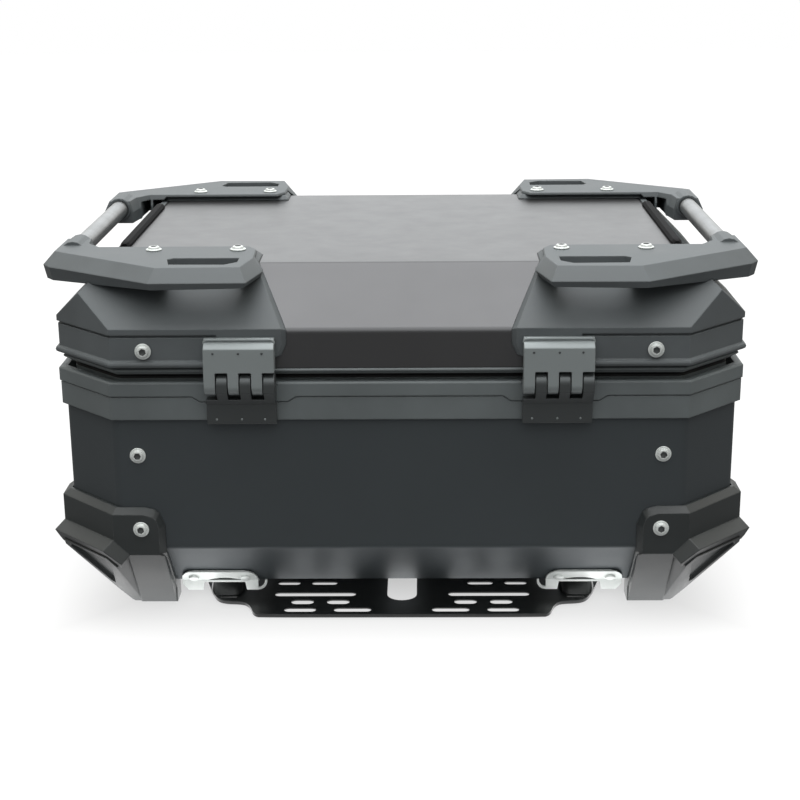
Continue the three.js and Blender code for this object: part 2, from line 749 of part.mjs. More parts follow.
function lowerLeaf() {
  const rear = HINGE_REAR.lower;
  const { y, z, knuckle, bottom } = HINGE;
  const profile = [
    [rear, bottom],
    [rear - 4, bottom],
    [rear - 5, bottom + 1.5],
    [rear - 5, z - 19],
    [y - knuckle, z - 6],
    [y - knuckle, z],
    [y, z],
    [rear, z - 8],
  ];
  return hingeLeaf(profile, rear, 0, [FINGER.low, z]);
}

// The pin ends inside the outer knuckles.
function hingePin() {
  return rod("x", PIN_RADIUS, [HINGE.width / 2, 0, 0], HINGE.width - 1, 12);
}

// ---- base plate, clips and rear catch -----------------------------------------------------------

// A slot with round ends, given by its two end centres along X or Y.
function slotHole(x0, x1, y, width) {
  const radius = width / 2;
  return [
    ...arc(x0 + radius, y, radius, 90, 270, 4),
    ...arc(x1 - radius, y, radius, 270, 450, 4),
  ];
}

const SLOT_ROWS = [
  { y: -202, width: 8.5, spans: [[27, 60], [76, 104]] },
  { y: -185, width: 9.5, spans: [[47, 67], [79, 99]] },
  { y: -168, width: 8.5, spans: [[42, 115]] },
  { y: -143, width: 7, spans: [[60, 83], [94, 114]] },
  { y: -110, width: 8.5, spans: [[36, 110]] },
  { y: 60, width: 8.5, spans: [[20, 52], [70, 110]] },
  { y: 110, width: 8.5, spans: [[30, 110]] },
  { y: 160, width: 8.5, spans: [[20, 52], [70, 110]] },
];

// Half of the plate in plan: a straight front edge, an S-curve back to the ear, and a waisted rear.
function plateOutline() {
  const { front, rear, halfFront, earX } = PLATE;
  const half = [
    [0, front],
    [halfFront - 7, front],
    [halfFront - 3, front + 2],
    [halfFront, front + 6.5],
    [halfFront + 2.5, front + 16],
    [halfFront + 6, front + 23.5],
    [halfFront + 11, front + 28],
    [earX - 23, front + 29],
    [earX - 15, front + 34],
    [earX - 9, front + 48],
    [earX - 4, front + 63],
    [earX, front + 78],
    [earX, front + 92],
    [halfFront + 14, front + 116],
    [halfFront + 2, front + 142],
    [halfFront + 2, rear - 34],
    [halfFront - 18, rear],
    [0, rear],
  ];
  const other = half.slice(1, -1).reverse();
  return [...half, ...other.map(([x, y]) => [-x, y])];
}

function basePlate() {
  const slots = SLOT_ROWS.flatMap(({ y, width, spans }) =>
    spans.flatMap(([x0, x1]) => [slotHole(x0, x1, y, width), slotHole(-x1, -x0, y, width)]),
  );
  const opening = [
    ...arc(0, -168.5, 13.2, 180, 360, 8),
    ...arc(0, -40, 13.2, 0, 180, 8),
  ];
  const { top, sheet, hem, front, rear, earX } = PLATE;
  const whole = plateOutline();
  const middle = (front + rear) / 2;
  const [shareX, shareY] = [1 - hem / earX, 1 - (2 * hem) / (rear - front)];
  const within = whole.map(([x, y]) => [shareX * x, middle + shareY * (y - middle)]);
  const underneath = top - sheet;
  const pad = block([-60, 60], [-20, 45], [0, top]);
  const rearPad = block([-40, 40], [170, rear], [0, top]);
  const pressed = cut(prismZ(whole, 0, top, [...slots, opening]), prismZ(within, -1, underneath));
  return join(pressed, pad, rearPad, plateTongue(1), plateTongue(-1), plateTab());
}

// The domed tongue rises off the plate's ear and passes under the clip's arch.
function plateTongue(side) {
  const ring = (y, half, low, high) => [
    [side * (159 - half), y, low],
    [side * (159 + half), y, low],
    [side * (159 + half - 6), y, high],
    [side * (159 - half + 6), y, high],
  ];
  return hull([
    ...ring(-179, 10, 2, 4),
    ...ring(-173, 13, 2, 10),
    ...ring(-164, 15, 2, 14.5),
    ...ring(-150, 15, 2, 15.5),
  ]);
}

// The upright tab at the rear of the plate, with the window that the catch bolt enters.
function plateTab() {
  const { tabY, boltZ, boltHalf } = CATCH;
  const upright = block([-13, 13], [tabY, tabY + 3], [1, 36]);
  const window = block([-9, 9], [tabY - 1, tabY + 4], [boltZ - boltHalf - 1, boltZ + boltHalf + 1]);
  return cut(upright, window);
}

// A plated clip under the tub: a sheet folded to lie on the floor, stand down, and lap the slope.
function plateClip() {
  const { inner, outer, low, lapTop, face, sheet } = CLIP;
  const floor = TUB.floor - GAP;
  const slopeAt = (z) => RIM_SHAPE.y - slopeInset(2 * GAP, z);
  const back = face - sheet;
  const fold = back - slopeAt(0);
  const section = [
    [-150, floor],
    [-150, floor - sheet],
    [-back, floor - sheet],
    [-back, low],
    [-face, low],
    [-face, fold - 1],
    [-slopeAt(lapTop) - 1.4, lapTop - 1.4],
    [-slopeAt(lapTop), lapTop],
    [-back, fold],
    [-back, floor],
  ];
  const round = 12;
  const front = [
    [inner, low - 1],
    [outer - 6, low - 1],
    [outer, low + 6],
    ...arc(outer - round, lapTop - round, round, 0, 90, 4),
    ...arc(inner + round, lapTop - round, round, 90, 180, 4),
  ];
  const archCentre = (inner + outer) / 2 - 4;
  const arch = [
    [archCentre + 20, low - 2],
    ...arc(archCentre, low - 3, 16, 40, 140, 8).map(([x, z]) => [archCentre + 1.5 * (x - archCentre), z]),
    [archCentre - 20, low - 2],
  ];
  const sheetSolid = prismX(section, inner, outer).intersect(prismY(front, -200, -140));
  const opened = cut(sheetSolid, prismY(arch, -200, -back + 1));
  const rivets = [inner + 11, outer - 11].map((x) => slopeRivet(x, fold + 3.4));
  return join(opened, ...rivets, clipHook());
}

// A flat rivet head on a clip's 45 degree lap, standing square to it.
function slopeRivet(x, z) {
  const head = new THREE.CylinderGeometry(4.4, 4.4, 2.4, 12).rotateX(Math.PI / 4);
  const y = -CLIP.face - (z + 1 - (CLIP.face - CLIP.sheet - RIM_SHAPE.y + slopeInset(2 * GAP, 0)));
  return placed(head, new THREE.Matrix4().makeTranslation(x, y, z));
}

// The curled ear on the inner side of a clip.
function clipHook() {
  const { inner, low, face } = CLIP;
  const curl = [
    ...arc(inner, low + 8, 8, 270, 180, 4),
    [inner - 8, low + 9.5],
    [inner - 6, low + 9.5],
    ...arc(inner, low + 8, 6, 180, 270, 4),
    [inner + 2, low + 2],
    [inner + 2, low],
  ];
  return prismY(curl, -face, -face + 3);
}

// The catch housing fills the slope under the rear of the tub.
function catchHousing() {
  const { halfWidth, bottom, face, boltZ, boltHalf, tabY } = CATCH;
  const slope = RIM_SHAPE.y - slopeInset(2 * GAP, 0);
  const wedge = [
    [slope + bottom, bottom],
    [face - 3, bottom],
    [face, bottom + 3],
    [face, 61],
    [slope + 61, 61],
  ];
  const body = prismX(wedge, -halfWidth, halfWidth);
  const leverPocket = block([-30.5, 30.5], [face - 10.5, face + 1], [33.6, 58.5]);
  const boltHeight = [boltZ - boltHalf - GAP, boltZ + boltHalf + GAP];
  const boltWay = block([-7.5, 7.5], [slope + bottom - 2, face + 1], boltHeight);
  const tabPocket = block([-13.5, 13.5], [tabY - 1.2, tabY + 4.2], [bottom - 1, 70]);
  return cut(body, leverPocket, boltWay, tabPocket);
}

const LEVER_AXIS = { y: CATCH.face - 4.5, z: 54 };

function releaseLever() {
  const { face } = CATCH;
  const grip = [
    [face - 7.5, LEVER_AXIS.z - 1.5],
    [face - 7, 36],
    [face - 1, 34.2],
    [face + 2, 36],
    [face - 1, 45],
    [face - 1.5, LEVER_AXIS.z],
  ];
  return join(prismX(grip, -29, 29), rod("x", 3, [0, LEVER_AXIS.y, LEVER_AXIS.z], 58, 12));
}

function releaseBolt() {
  const { tabY, face, boltZ, boltHalf } = CATCH;
  const nose = tabY - 3;
  return prismX(
    [
      [nose, boltZ + boltHalf],
      [nose, boltZ],
      [nose + 3, boltZ - boltHalf],
      [face - 9, boltZ - boltHalf],
      [face - 9, boltZ + boltHalf],
    ],
    -7,
    7,
  );
}

// ---- rear lock ----------------------------------------------------------------------------------

const CAM = { rear: LOCK.face - 9, front: LOCK.face - 6 };

function lockHousing() {
  const { halfWidth, bottom, top, face, axisZ, barrel } = LOCK;
  const onTub = RIM_SHAPE.y - TUB.inset + GAP;
  const onRim = RIM_SHAPE.y + RIM.proud + GAP;
  const wide = (y, grow) => [
    [-halfWidth - grow, y, bottom + 10],
    [-halfWidth + 10, y, bottom - grow],
    [halfWidth - 10, y, bottom - grow],
    [halfWidth + grow, y, bottom + 10],
    [halfWidth + grow, y, top - 6],
    [halfWidth - 6, y, top],
    [-halfWidth + 6, y, top],
    [-halfWidth - grow, y, top - 6],
  ];
  const body = hull([...wide(onTub, 0), ...wide(face - 7, 0), ...wide(face, -7)]);
  const rimSpace = block([-100, 100], [0, onRim], [RIM.bottom - GAP, top + 1]);
  const room = block([-27, 27], [onRim + 2, CAM.front + 0.5], [axisZ - 14, axisZ + 27]);
  const strikerWay = block([-15.5, 15.5], [onRim - 1, 239.6], [axisZ + 10, top + 1]);
  const bore = rod("y", barrel + 0.3, [0, face, axisZ], 30, 20);
  return cut(body, rimSpace, room, strikerWay, bore);
}

function keyBarrel() {
  const { face, axisZ, barrel } = LOCK;
  const length = face + 1.5 - CAM.front - GAP;
  const plug = rod("y", barrel - 0.2, [0, CAM.front + GAP + length / 2, axisZ], length, 20);
  const keyway = block([-1.2, 1.2], [face - 2, face + 3], [axisZ - 4.5, axisZ + 4.5]);
  return cut(plug, keyway);
}

// The cam points to +X when unlocked; its pin swings up into the striker's hook when the key turns.
function lockCam() {
  const { axisZ, pinOrbit } = LOCK;
  const arm = hull([
    ...arc(0, axisZ, 6, 90, 270, 4).map(([x, z]) => [x, CAM.rear, z]),
    ...arc(0, axisZ, 6, 90, 270, 4).map(([x, z]) => [x, CAM.front, z]),
    ...arc(pinOrbit, axisZ, 2.2, -90, 90, 4).map(([x, z]) => [x, CAM.rear, z]),
    ...arc(pinOrbit, axisZ, 2.2, -90, 90, 4).map(([x, z]) => [x, CAM.front, z]),
  ]);
  return join(arm, rod("y", 1.8, [pinOrbit, CAM.rear - 2.5, axisZ], 6, 10));
}

// The striker hangs from the lid's rear face: a plate with a J hook that opens towards +X.
function lockStriker() {
  const back = RIM_SHAPE.y + RIM.proud + 2 * GAP;
  const plate = block([-13, 13], [back, back + 3], [214, 258]);
  const shank = block([-13, -6], [back, 238.8], [205, 221]);
  const leg = block([-13, 2], [back + 3.2, 238.8], [205, 208.2]);
  const foot = block([-13, 2], [back, back + 4], [205, 208.2]);
  return join(plate, shank, leg, foot);
}

// ---- interior and fasteners ---------------------------------------------------------------------

// The lid stay at rest: slack, folded forward between its anchors on the tub and on the lid.
// Its middle line is the one that pulls straight when the lid reaches its full opening.
function stayPoint(t) {
  const half = THREE.MathUtils.degToRad(STAY.opening) / 2;
  const reach = STAY.anchorY - HINGE.y;
  const apart = Math.cos(half) * reach - Math.sin(half) * STAY.drop;
  const eased = t * t * (3 - 2 * t);
  const angle = half * (2 * eased - 1);
  const up = STAY.drop * (2 * t - 1);
  return [HINGE.y + (apart + up * Math.sin(angle)) / Math.cos(angle), HINGE.z + up];
}

function lidStay() {
  const steps = 16;
  const line = Array.from({ length: steps + 1 }, (_, i) => stayPoint(i / steps));
  const side = (sign) =>
    line.map(([y, z], i) => {
      const [y0, z0] = line[Math.max(i - 1, 0)];
      const [y1, z1] = line[Math.min(i + 1, steps)];
      const length = Math.hypot(y1 - y0, z1 - z0);
      const shift = (sign * STAY.thickness) / 2 / length;
      return [y - shift * (z1 - z0), z + shift * (y1 - y0)];
    });
  return prismX([...side(1), ...side(-1).reverse()], -STAY.width / 2, STAY.width / 2);
}

// A button-head screw with a flange and a socket; its head is above z = 0 and its shank below.
function screwGeometry(length) {
  const { flange, head, shank } = SCREW;
  const profile = [
    [0, 1.4],
    [2.1, 1.4],
    [2.3, 3.4],
    [head - 1.6, 3.2],
    [head, 1.3],
    [flange, 1.1],
    [flange, 0],
    [shank, 0],
    [shank, -length],
    [0, -length],
  ];
  const points = profile.reverse().map(([r, z]) => new THREE.Vector2(r, z));
  return new THREE.LatheGeometry(points, 12).rotateX(Math.PI / 2);
}

// ---- assembly -----------------------------------------------------------------------------------

const topCase = new THREE.Group();

function add(name, shape, material, parent = topCase) {
  const geometry = shape.isBufferGeometry ? shape : geometryOf(shape);
  const mesh = new THREE.Mesh(geometry, material);
  mesh.name = name;
  parent.add(mesh);
  return mesh;
}

const SIDES = [["left", -1], ["right", 1]];
const FACES = [["front", -1], ["rear", 1]];

// One mesh in each corner, mirrored from the piece made where x and y are positive.
function addCorners(name, shapeFor, material) {
  FACES.forEach(([face, sy]) => {
    const geometry = geometryOf(shapeFor(face));
    SIDES.forEach(([side, sx]) => {
      add(`${name}_${face}_${side}`, geometry, material).scale.set(sx, sy, 1);
    });
  });
}

function addPair(name, shape, material) {
  const geometry = geometryOf(shape);
  SIDES.forEach(([side, sx]) => add(`${name}_${side}`, geometry, material).scale.set(sx, 1, 1));
}

// Screws through the front and rear walls, heads outside.
function addWallScrews(name, { x, z }, faceY) {
  const geometry = screwGeometry(SCREW.length);
  FACES.forEach(([face, sy]) => {
    SIDES.forEach(([side, sx]) => {
      const screw = add(`${name}_${face}_${side}`, geometry, MATERIALS.platedSteel);
      screw.position.set(sx * x, sy * (faceY + GAP / 2), z);
      screw.rotation.x = (-sy * Math.PI) / 2;
    });
  });
}

function addBracketScrews() {
  const geometry = screwGeometry(SCREW.bracketLength);
  const places = [["inner", BRACKET.screwInner], ["outer", BRACKET.screwOuter]];
  FACES.forEach(([face, sy]) => {
    SIDES.forEach(([side, sx]) => {
      places.forEach(([place, x]) => {
        const screw = add(`bracket_screw_${place}_${face}_${side}`, geometry, MATERIALS.platedSteel);
        screw.position.set(sx * x, sy * BRACKET.screwY, BRACKET.top + GAP / 2);
      });
    });
  });
}

// Both hinges are the same way round, so they are placed, not mirrored.
function addHinges() {
  const { blackMetal, platedSteel } = MATERIALS;
  const upper = geometryOf(upperLeaf());
  const lower = geometryOf(lowerLeaf());
  const pin = geometryOf(hingePin());
  const starts = { left: -HINGE.inner - HINGE.width, right: HINGE.inner };
  Object.entries(starts).forEach(([side, x]) => {
    add(`hinge_upper_leaf_${side}`, upper, blackMetal).position.x = x;
    add(`hinge_lower_leaf_${side}`, lower, blackMetal).position.x = x;
    add(`hinge_pin_${side}`, pin, platedSteel).position.set(x, HINGE.y, HINGE.z);
  });
}

function addCase() {
  add("body_shell", bodyShell(), MATERIALS.coatedAluminium);
  add("body_rim", bodyRim(), MATERIALS.mouldedPlastic);
  add("rim_seal", rimSeal(), MATERIALS.rubber);
  add("floor_mat", floorMat(), MATERIALS.rubber);
  addCorners("corner_guard", cornerGuard, MATERIALS.mouldedPlastic);
  addWallScrews("body_screw", SCREW_HOLES.body, RIM_SHAPE.y - TUB.inset);
  addWallScrews("guard_screw", SCREW_HOLES.guard, RIM_SHAPE.y - TUB.inset + GUARD.skin);
  addPair("plate_clip", plateClip(), MATERIALS.platedSteel);
  add("lock_housing", lockHousing(), MATERIALS.mouldedPlastic);
  add("catch_housing", catchHousing(), MATERIALS.mouldedPlastic);
  add("base_plate", basePlate(), MATERIALS.steelPlate);
  const stay = geometryOf(lidStay());
  SIDES.forEach(([side, sx]) => {
    add(`lid_stay_${side}`, stay, MATERIALS.webbing).position.x = sx * STAY.x;
  });
}

function addLid() {
  add("lid_skin", lidSkin(), MATERIALS.lidAluminium);
  add("lid_frame", lidFrame(), MATERIALS.mouldedPlastic);
  addCorners("lid_cover", (face) => lidCover(face === "front"), MATERIALS.mouldedPlastic);
  addCorners("handle_bracket", handleBracket, MATERIALS.mouldedPlastic);
  addPair("side_strip", sideStrip(), MATERIALS.mouldedPlastic);
  addPair("handle_tube", handleTube(), MATERIALS.tubeAluminium);
  addWallScrews("cover_screw", SCREW_HOLES.cover, LID_SHAPE.y + COVER.skin);
  addBracketScrews();
  add("lock_striker", lockStriker(), MATERIALS.platedSteel);
}

function addControls() {
  add("key_barrel", keyBarrel(), MATERIALS.platedSteel);
  add("lock_cam", lockCam(), MATERIALS.platedSteel);
  add("release_lever", releaseLever(), MATERIALS.mouldedPlastic);
  add("release_bolt", releaseBolt(), MATERIALS.platedSteel);
}

addCase();
addLid();
addHinges();
addControls();

export default topCase;
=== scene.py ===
"""A motorcycle top case on its base plate, shown closed from its hinge side.

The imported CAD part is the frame. Its moulded pieces, hinges, clips, lock and tubes keep their shape and get
rounded edges and materials here. The tub, the lid, the plate, the screws, the straps, the mat and the seal
are built in this script and stand for their plain CAD solids. Lengths are in millimetres unless a line says
otherwise, and noise scales are per metre.
"""
import json
import math
import bmesh
import bpy
from mathutils import Matrix, Vector

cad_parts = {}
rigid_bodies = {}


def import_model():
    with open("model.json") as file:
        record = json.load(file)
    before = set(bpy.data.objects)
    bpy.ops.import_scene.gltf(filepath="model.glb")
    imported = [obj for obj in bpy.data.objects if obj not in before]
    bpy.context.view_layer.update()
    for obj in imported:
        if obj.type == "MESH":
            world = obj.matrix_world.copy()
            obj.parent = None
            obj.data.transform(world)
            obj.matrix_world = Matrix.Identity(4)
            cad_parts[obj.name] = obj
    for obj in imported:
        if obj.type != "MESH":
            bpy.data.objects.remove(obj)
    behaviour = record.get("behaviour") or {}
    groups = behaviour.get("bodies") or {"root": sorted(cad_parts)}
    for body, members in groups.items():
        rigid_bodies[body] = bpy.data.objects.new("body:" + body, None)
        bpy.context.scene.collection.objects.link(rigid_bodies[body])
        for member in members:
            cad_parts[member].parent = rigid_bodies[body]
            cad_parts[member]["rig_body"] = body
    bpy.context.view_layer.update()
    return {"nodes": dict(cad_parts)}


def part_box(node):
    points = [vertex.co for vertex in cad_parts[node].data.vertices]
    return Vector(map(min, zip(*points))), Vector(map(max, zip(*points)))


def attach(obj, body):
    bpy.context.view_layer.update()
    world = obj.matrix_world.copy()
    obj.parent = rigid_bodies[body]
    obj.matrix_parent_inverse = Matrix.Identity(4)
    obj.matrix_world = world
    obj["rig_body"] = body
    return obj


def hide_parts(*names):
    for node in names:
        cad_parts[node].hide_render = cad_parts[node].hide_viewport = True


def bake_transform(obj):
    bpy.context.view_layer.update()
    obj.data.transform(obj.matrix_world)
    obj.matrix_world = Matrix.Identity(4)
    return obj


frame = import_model()

MM = 0.001
NODES = frame["nodes"]
BODY_OF = {node: obj["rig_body"] for node, obj in NODES.items()}
SIDES = {"left": -1, "right": 1}


# ---- materials --------------------------------------------------------------------------------

class Shader:
    """A node tree for one material, built node by node."""

    def __init__(self, name):
        self.material = bpy.data.materials.new(name)
        self.material.use_nodes = True
        self.tree = self.material.node_tree
        self.tree.nodes.clear()

    def node(self, kind, settings=None, **inputs):
        made = self.tree.nodes.new(kind)
        for key, value in (settings or {}).items():
            setattr(made, key, value)
        for key, value in inputs.items():
            self.feed(made.inputs[key.replace("_", " ")], value)
        return made

    def feed(self, socket, value):
        if isinstance(value, bpy.types.NodeSocket):
            self.tree.links.new(value, socket)
        elif isinstance(value, tuple) and len(value) == 3 and len(socket.default_value) == 4:
            socket.default_value = (*value, 1.0)
        else:
            socket.default_value = value

    def place(self, stretch=(1, 1, 1)):
        """Object coordinates in metres, stretched along each axis."""
        where = self.node("ShaderNodeTexCoord").outputs["Object"]
        mapping = self.node("ShaderNodeMapping", Vector=where, Scale=stretch)
        return mapping.outputs["Vector"]

    def noise(self, scale, detail=3.0, roughness=0.55, stretch=(1, 1, 1)):
        made = self.node(
            "ShaderNodeTexNoise", Vector=self.place(stretch), Scale=scale, Detail=detail, Roughness=roughness
        )
        return made.outputs["Fac"]

    def cells(self, scale):
        made = self.node("ShaderNodeTexVoronoi", Vector=self.place(), Scale=scale)
        return made.outputs["Distance"]

    def ramp(self, value, low, high, from_low=0.0, from_high=1.0):
        made = self.node("ShaderNodeMapRange", Value=value)
        made.inputs["From Min"].default_value = from_low
        made.inputs["From Max"].default_value = from_high
        made.inputs["To Min"].default_value = low
        made.inputs["To Max"].default_value = high
        return made.outputs["Result"]

    def math(self, operation, first, second=0.0):
        made = self.node("ShaderNodeMath", {"operation": operation})
        self.feed(made.inputs[0], first)
        self.feed(made.inputs[1], second)
        return made.outputs[0]

    def mix(self, factor, first, second):
        made = self.node("ShaderNodeMix", {"data_type": "RGBA"})
        self.feed(made.inputs["Factor"], factor)
        self.feed(made.inputs["A"], first)
        self.feed(made.inputs["B"], second)
        return made.outputs["Result"]

    def edges(self, radius):
        """1 on sharp edges, 0 on flat stretches: how far a rounded normal leaves the true one."""
        rounded = self.rounded(radius)
        if rounded is None:
            return 0.0
        true = self.node("ShaderNodeNewGeometry").outputs["Normal"]
        dot = self.node("ShaderNodeVectorMath", {"operation": "DOT_PRODUCT"})
        self.feed(dot.inputs[0], rounded)
        self.feed(dot.inputs[1], true)
        return self.ramp(dot.outputs["Value"], 1.0, 0.0, 0.75, 0.995)

    def rounded(self, radius):
        return self.node("ShaderNodeBevel", {"samples": 4}, Radius=radius).outputs["Normal"]

    def bump(self, height, strength, distance, under=None):
        made = self.node("ShaderNodeBump", Height=height, Strength=strength, Distance=distance)
        if under is not None:
            self.feed(made.inputs["Normal"], under)
        return made.outputs["Normal"]

    def finish(self, color, roughness, normal=None, **others):
        principled = self.node("ShaderNodeBsdfPrincipled")
        self.feed(principled.inputs["Base Color"], color)
        self.feed(principled.inputs["Roughness"], roughness)
        if normal is not None:
            self.feed(principled.inputs["Normal"], normal)
        for key, value in others.items():
            self.feed(principled.inputs[key.replace("_", " ")], value)
        output = self.node("ShaderNodeOutputMaterial")
        self.tree.links.new(principled.outputs["BSDF"], output.inputs["Surface"])
        return self.material


def darker(color, share):
    return tuple(part * share for part in color)


def moulded_plastic(name, color, worn, gloss=0.0):
    """Grained nylon: fine leather-like moulding grain, slightly polished and paler edges."""
    s = Shader(name)
    grain = s.math("ADD", s.cells(1400.0), s.noise(2600.0, 2.0))
    patches = s.noise(14.0, 4.0)
    toned = s.mix(s.ramp(patches, 0.0, 1.0, 0.35, 0.7), darker(color, 0.86), darker(color, 1.1))
    scuffs = s.math("MULTIPLY", s.edges(1.2 * MM), s.ramp(s.noise(160.0, 5.0), 0.15, 0.9, 0.3, 0.7))
    worn_color = s.mix(scuffs, toned, worn)
    roughness = s.ramp(patches, 0.46 - gloss, 0.6 - gloss, 0.3, 0.7)
    shine = 0.5 + 2.5 * gloss
    normal = s.bump(grain, 0.28, 0.12 * MM, s.rounded(1.6 * MM))
    return s.finish(worn_color, roughness, normal, Specular_IOR_Level=shine)


def powder_coat(name, color, roughness, peel, metallic=0.0):
    """Baked coating on sheet: fine orange peel, with a few paler rubbed spots on edges."""
    s = Shader(name)
    skin = s.math("ADD", s.noise(900.0, 2.0), s.math("MULTIPLY", s.cells(2200.0), 0.35))
    cloud = s.noise(9.0, 5.0)
    toned = s.mix(s.ramp(cloud, 0.0, 1.0, 0.35, 0.7), darker(color, 0.97), darker(color, 1.03))
    rubbed = s.math("MULTIPLY", s.edges(0.8 * MM), s.ramp(s.noise(220.0, 4.0), 0.0, 0.6, 0.45, 0.75))
    worn_color = s.mix(rubbed, toned, tuple(0.5 * part + 0.12 for part in color))
    rough = s.ramp(s.noise(40.0, 3.0), roughness - 0.02, roughness + 0.02, 0.3, 0.7)
    return s.finish(worn_color, rough, s.bump(skin, peel, 0.1 * MM), Metallic=metallic)


def brushed_metal(name, color, roughness, stretch, depth=0.25, metallic=1.0):
    """Bare or anodised metal with fine lines along one axis and faint handling marks."""
    s = Shader(name)
    lines = s.noise(700.0, 4.0, 0.7, stretch)
    marks = s.noise(35.0, 6.0, 0.65)
    toned = s.mix(s.ramp(marks, 0.0, 1.0, 0.4, 0.75), color, darker(color, 0.82))
    rough = s.math("ADD", s.ramp(lines, -0.06, 0.07, 0.3, 0.7), s.ramp(marks, roughness, roughness + 0.1))
    return s.finish(toned, rough, s.bump(lines, depth, 0.04 * MM), Metallic=metallic)


def plain_rubber(name, color, shine=0.5):
    s = Shader(name)
    bloom = s.ramp(s.noise(60.0, 5.0), 0.0, 1.0, 0.4, 0.8)
    toned = s.mix(bloom, color, tuple(part + 0.02 for part in color))
    grain = s.bump(s.noise(1800.0, 2.0), 0.2, 0.08 * MM)
    return s.finish(toned, s.ramp(bloom, 0.62, 0.8), grain, Specular_IOR_Level=shine)


def woven_strap(name, color):
    """Webbing: rows of stitches across the strap and a rib along it."""
    s = Shader(name)
    across = s.node("ShaderNodeTexWave", {"bands_direction": "X"}, Vector=s.place(), Scale=160.0)
    along = s.node("ShaderNodeTexWave", {"bands_direction": "Z"}, Vector=s.place(), Scale=130.0)
    weave = s.math("MULTIPLY", across.outputs["Fac"], along.outputs["Fac"])
    toned = s.mix(weave, darker(color, 0.5), darker(color, 1.5))
    return s.finish(toned, 0.85, s.bump(weave, 0.8, 0.3 * MM), Sheen_Weight=0.3)


MATERIALS = {
    "body": powder_coat("body_coat", (0.078, 0.09, 0.097), 0.48, 0.16, metallic=0.5),
    "lid": powder_coat("lid_coat", (0.112, 0.112, 0.115), 0.3, 0.05, metallic=0.75),
    "plastic": moulded_plastic("moulded_plastic", (0.115, 0.129, 0.136), (0.24, 0.26, 0.265)),
    "rim": moulded_plastic("rim_plastic", (0.145, 0.165, 0.17), (0.24, 0.26, 0.265), gloss=0.05),
    "guard": moulded_plastic("guard_plastic", (0.026, 0.031, 0.032), (0.15, 0.16, 0.16), gloss=0.08),
    "strip": plain_rubber("strip_rubber", (0.004, 0.004, 0.005), shine=0.08),
    "hinge": powder_coat("hinge_coat", (0.09, 0.098, 0.1), 0.36, 0.1, metallic=0.55),
    # The upper leaf's coat is painted light: a much lighter copy of the hinge coat, standing in for the light
    # that the leaf's up-tilted face catches.
    "hinge_upper": powder_coat("hinge_painted_lit_copy", (0.285, 0.315, 0.32), 0.36, 0.1, metallic=0.25),
    "steel": brushed_metal("plated_steel", (0.88, 0.92, 0.9), 0.3, (1, 1, 1), 0.06, metallic=0.25),
    "tube": brushed_metal("tube_aluminium", (0.4, 0.41, 0.415), 0.36, (1, 0.04, 1)),
    # Painted shade: a darker copy of the screws' steel for the inside of their sockets, where shade falls.
    "socket": brushed_metal("socket_painted_shade", (0.16, 0.17, 0.17), 0.45, (1, 1, 1), 0.06, metallic=0.6),
    "plate": powder_coat("plate_coat", (0.006, 0.007, 0.007), 0.32, 0.12),
    "rubber": plain_rubber("rubber", (0.016, 0.016, 0.017)),
    "strap": woven_strap("strap_webbing", (0.03, 0.03, 0.032)),
}

# The first name that a node's name starts with gives its material and the width of its rounded edges.
DRESS = [
    ("body_shell", "body", 2.5),
    ("body_rim", "rim", 0.8),
    ("rim_seal", "rubber", 1.0),
    ("floor_mat", "rubber", 0.8),
    ("corner_guard", "guard", 2.0),
    ("body_screw", "steel", 0.3),
    ("guard_screw", "steel", 0.3),
    ("cover_screw", "steel", 0.3),
    ("bracket_screw", "steel", 0.3),
    ("plate_clip", "steel", 0.35),
    ("lock_housing", "plastic", 1.2),
    ("catch_housing", "guard", 0.8),
    ("base_plate", "plate", 0.8),
    ("lid_stay", "strap", 0.2),
    ("hinge_pin", "steel", 0.3),
    # The upper leaves take the painted lighter copy of the hinge coat.
    ("hinge_upper", "hinge_upper", 0.8),
    ("hinge", "hinge", 0.6),
    ("lid_skin", "lid", 3.5),
    ("lid_frame", "rim", 0.6),
    ("lid_cover", "plastic", 1.4),
    ("handle_bracket", "plastic", 2.6),
    ("side_strip", "strip", 1.0),
    ("handle_tube", "tube", 0.5),
    ("lock_striker", "steel", 0.3),
    ("key_barrel", "steel", 0.3),
    ("lock_cam", "steel", 0.3),
    ("release_lever", "guard", 0.8),
    ("release_bolt", "steel", 0.3),
]


def smoothing_tree():
    """Geometry nodes that shade a mesh smooth except across edges sharper than 30 degrees."""
    tree = bpy.data.node_groups.new("smooth_by_angle", "GeometryNodeTree")
    tree.interface.new_socket("Geometry", in_out="INPUT", socket_type="NodeSocketGeometry")
    tree.interface.new_socket("Geometry", in_out="OUTPUT", socket_type="NodeSocketGeometry")
    start = tree.nodes.new("NodeGroupInput")
    end = tree.nodes.new("NodeGroupOutput")
    faces = tree.nodes.new("GeometryNodeSetShadeSmooth")
    edges = tree.nodes.new("GeometryNodeSetShadeSmooth")
    edges.domain = "EDGE"
    angle = tree.nodes.new("GeometryNodeInputMeshEdgeAngle")
    below = tree.nodes.new("FunctionNodeCompare")
    below.operation = "LESS_THAN"
    below.inputs["B"].default_value = math.radians(30)
    tree.links.new(start.outputs[0], faces.inputs["Geometry"])
    tree.links.new(faces.outputs["Geometry"], edges.inputs["Geometry"])
    tree.links.new(angle.outputs["Unsigned Angle"], below.inputs["A"])
    tree.links.new(below.outputs["Result"], edges.inputs["Shade Smooth"])
    tree.links.new(edges.outputs["Geometry"], end.inputs[0])
    return tree


SMOOTHING = smoothing_tree()


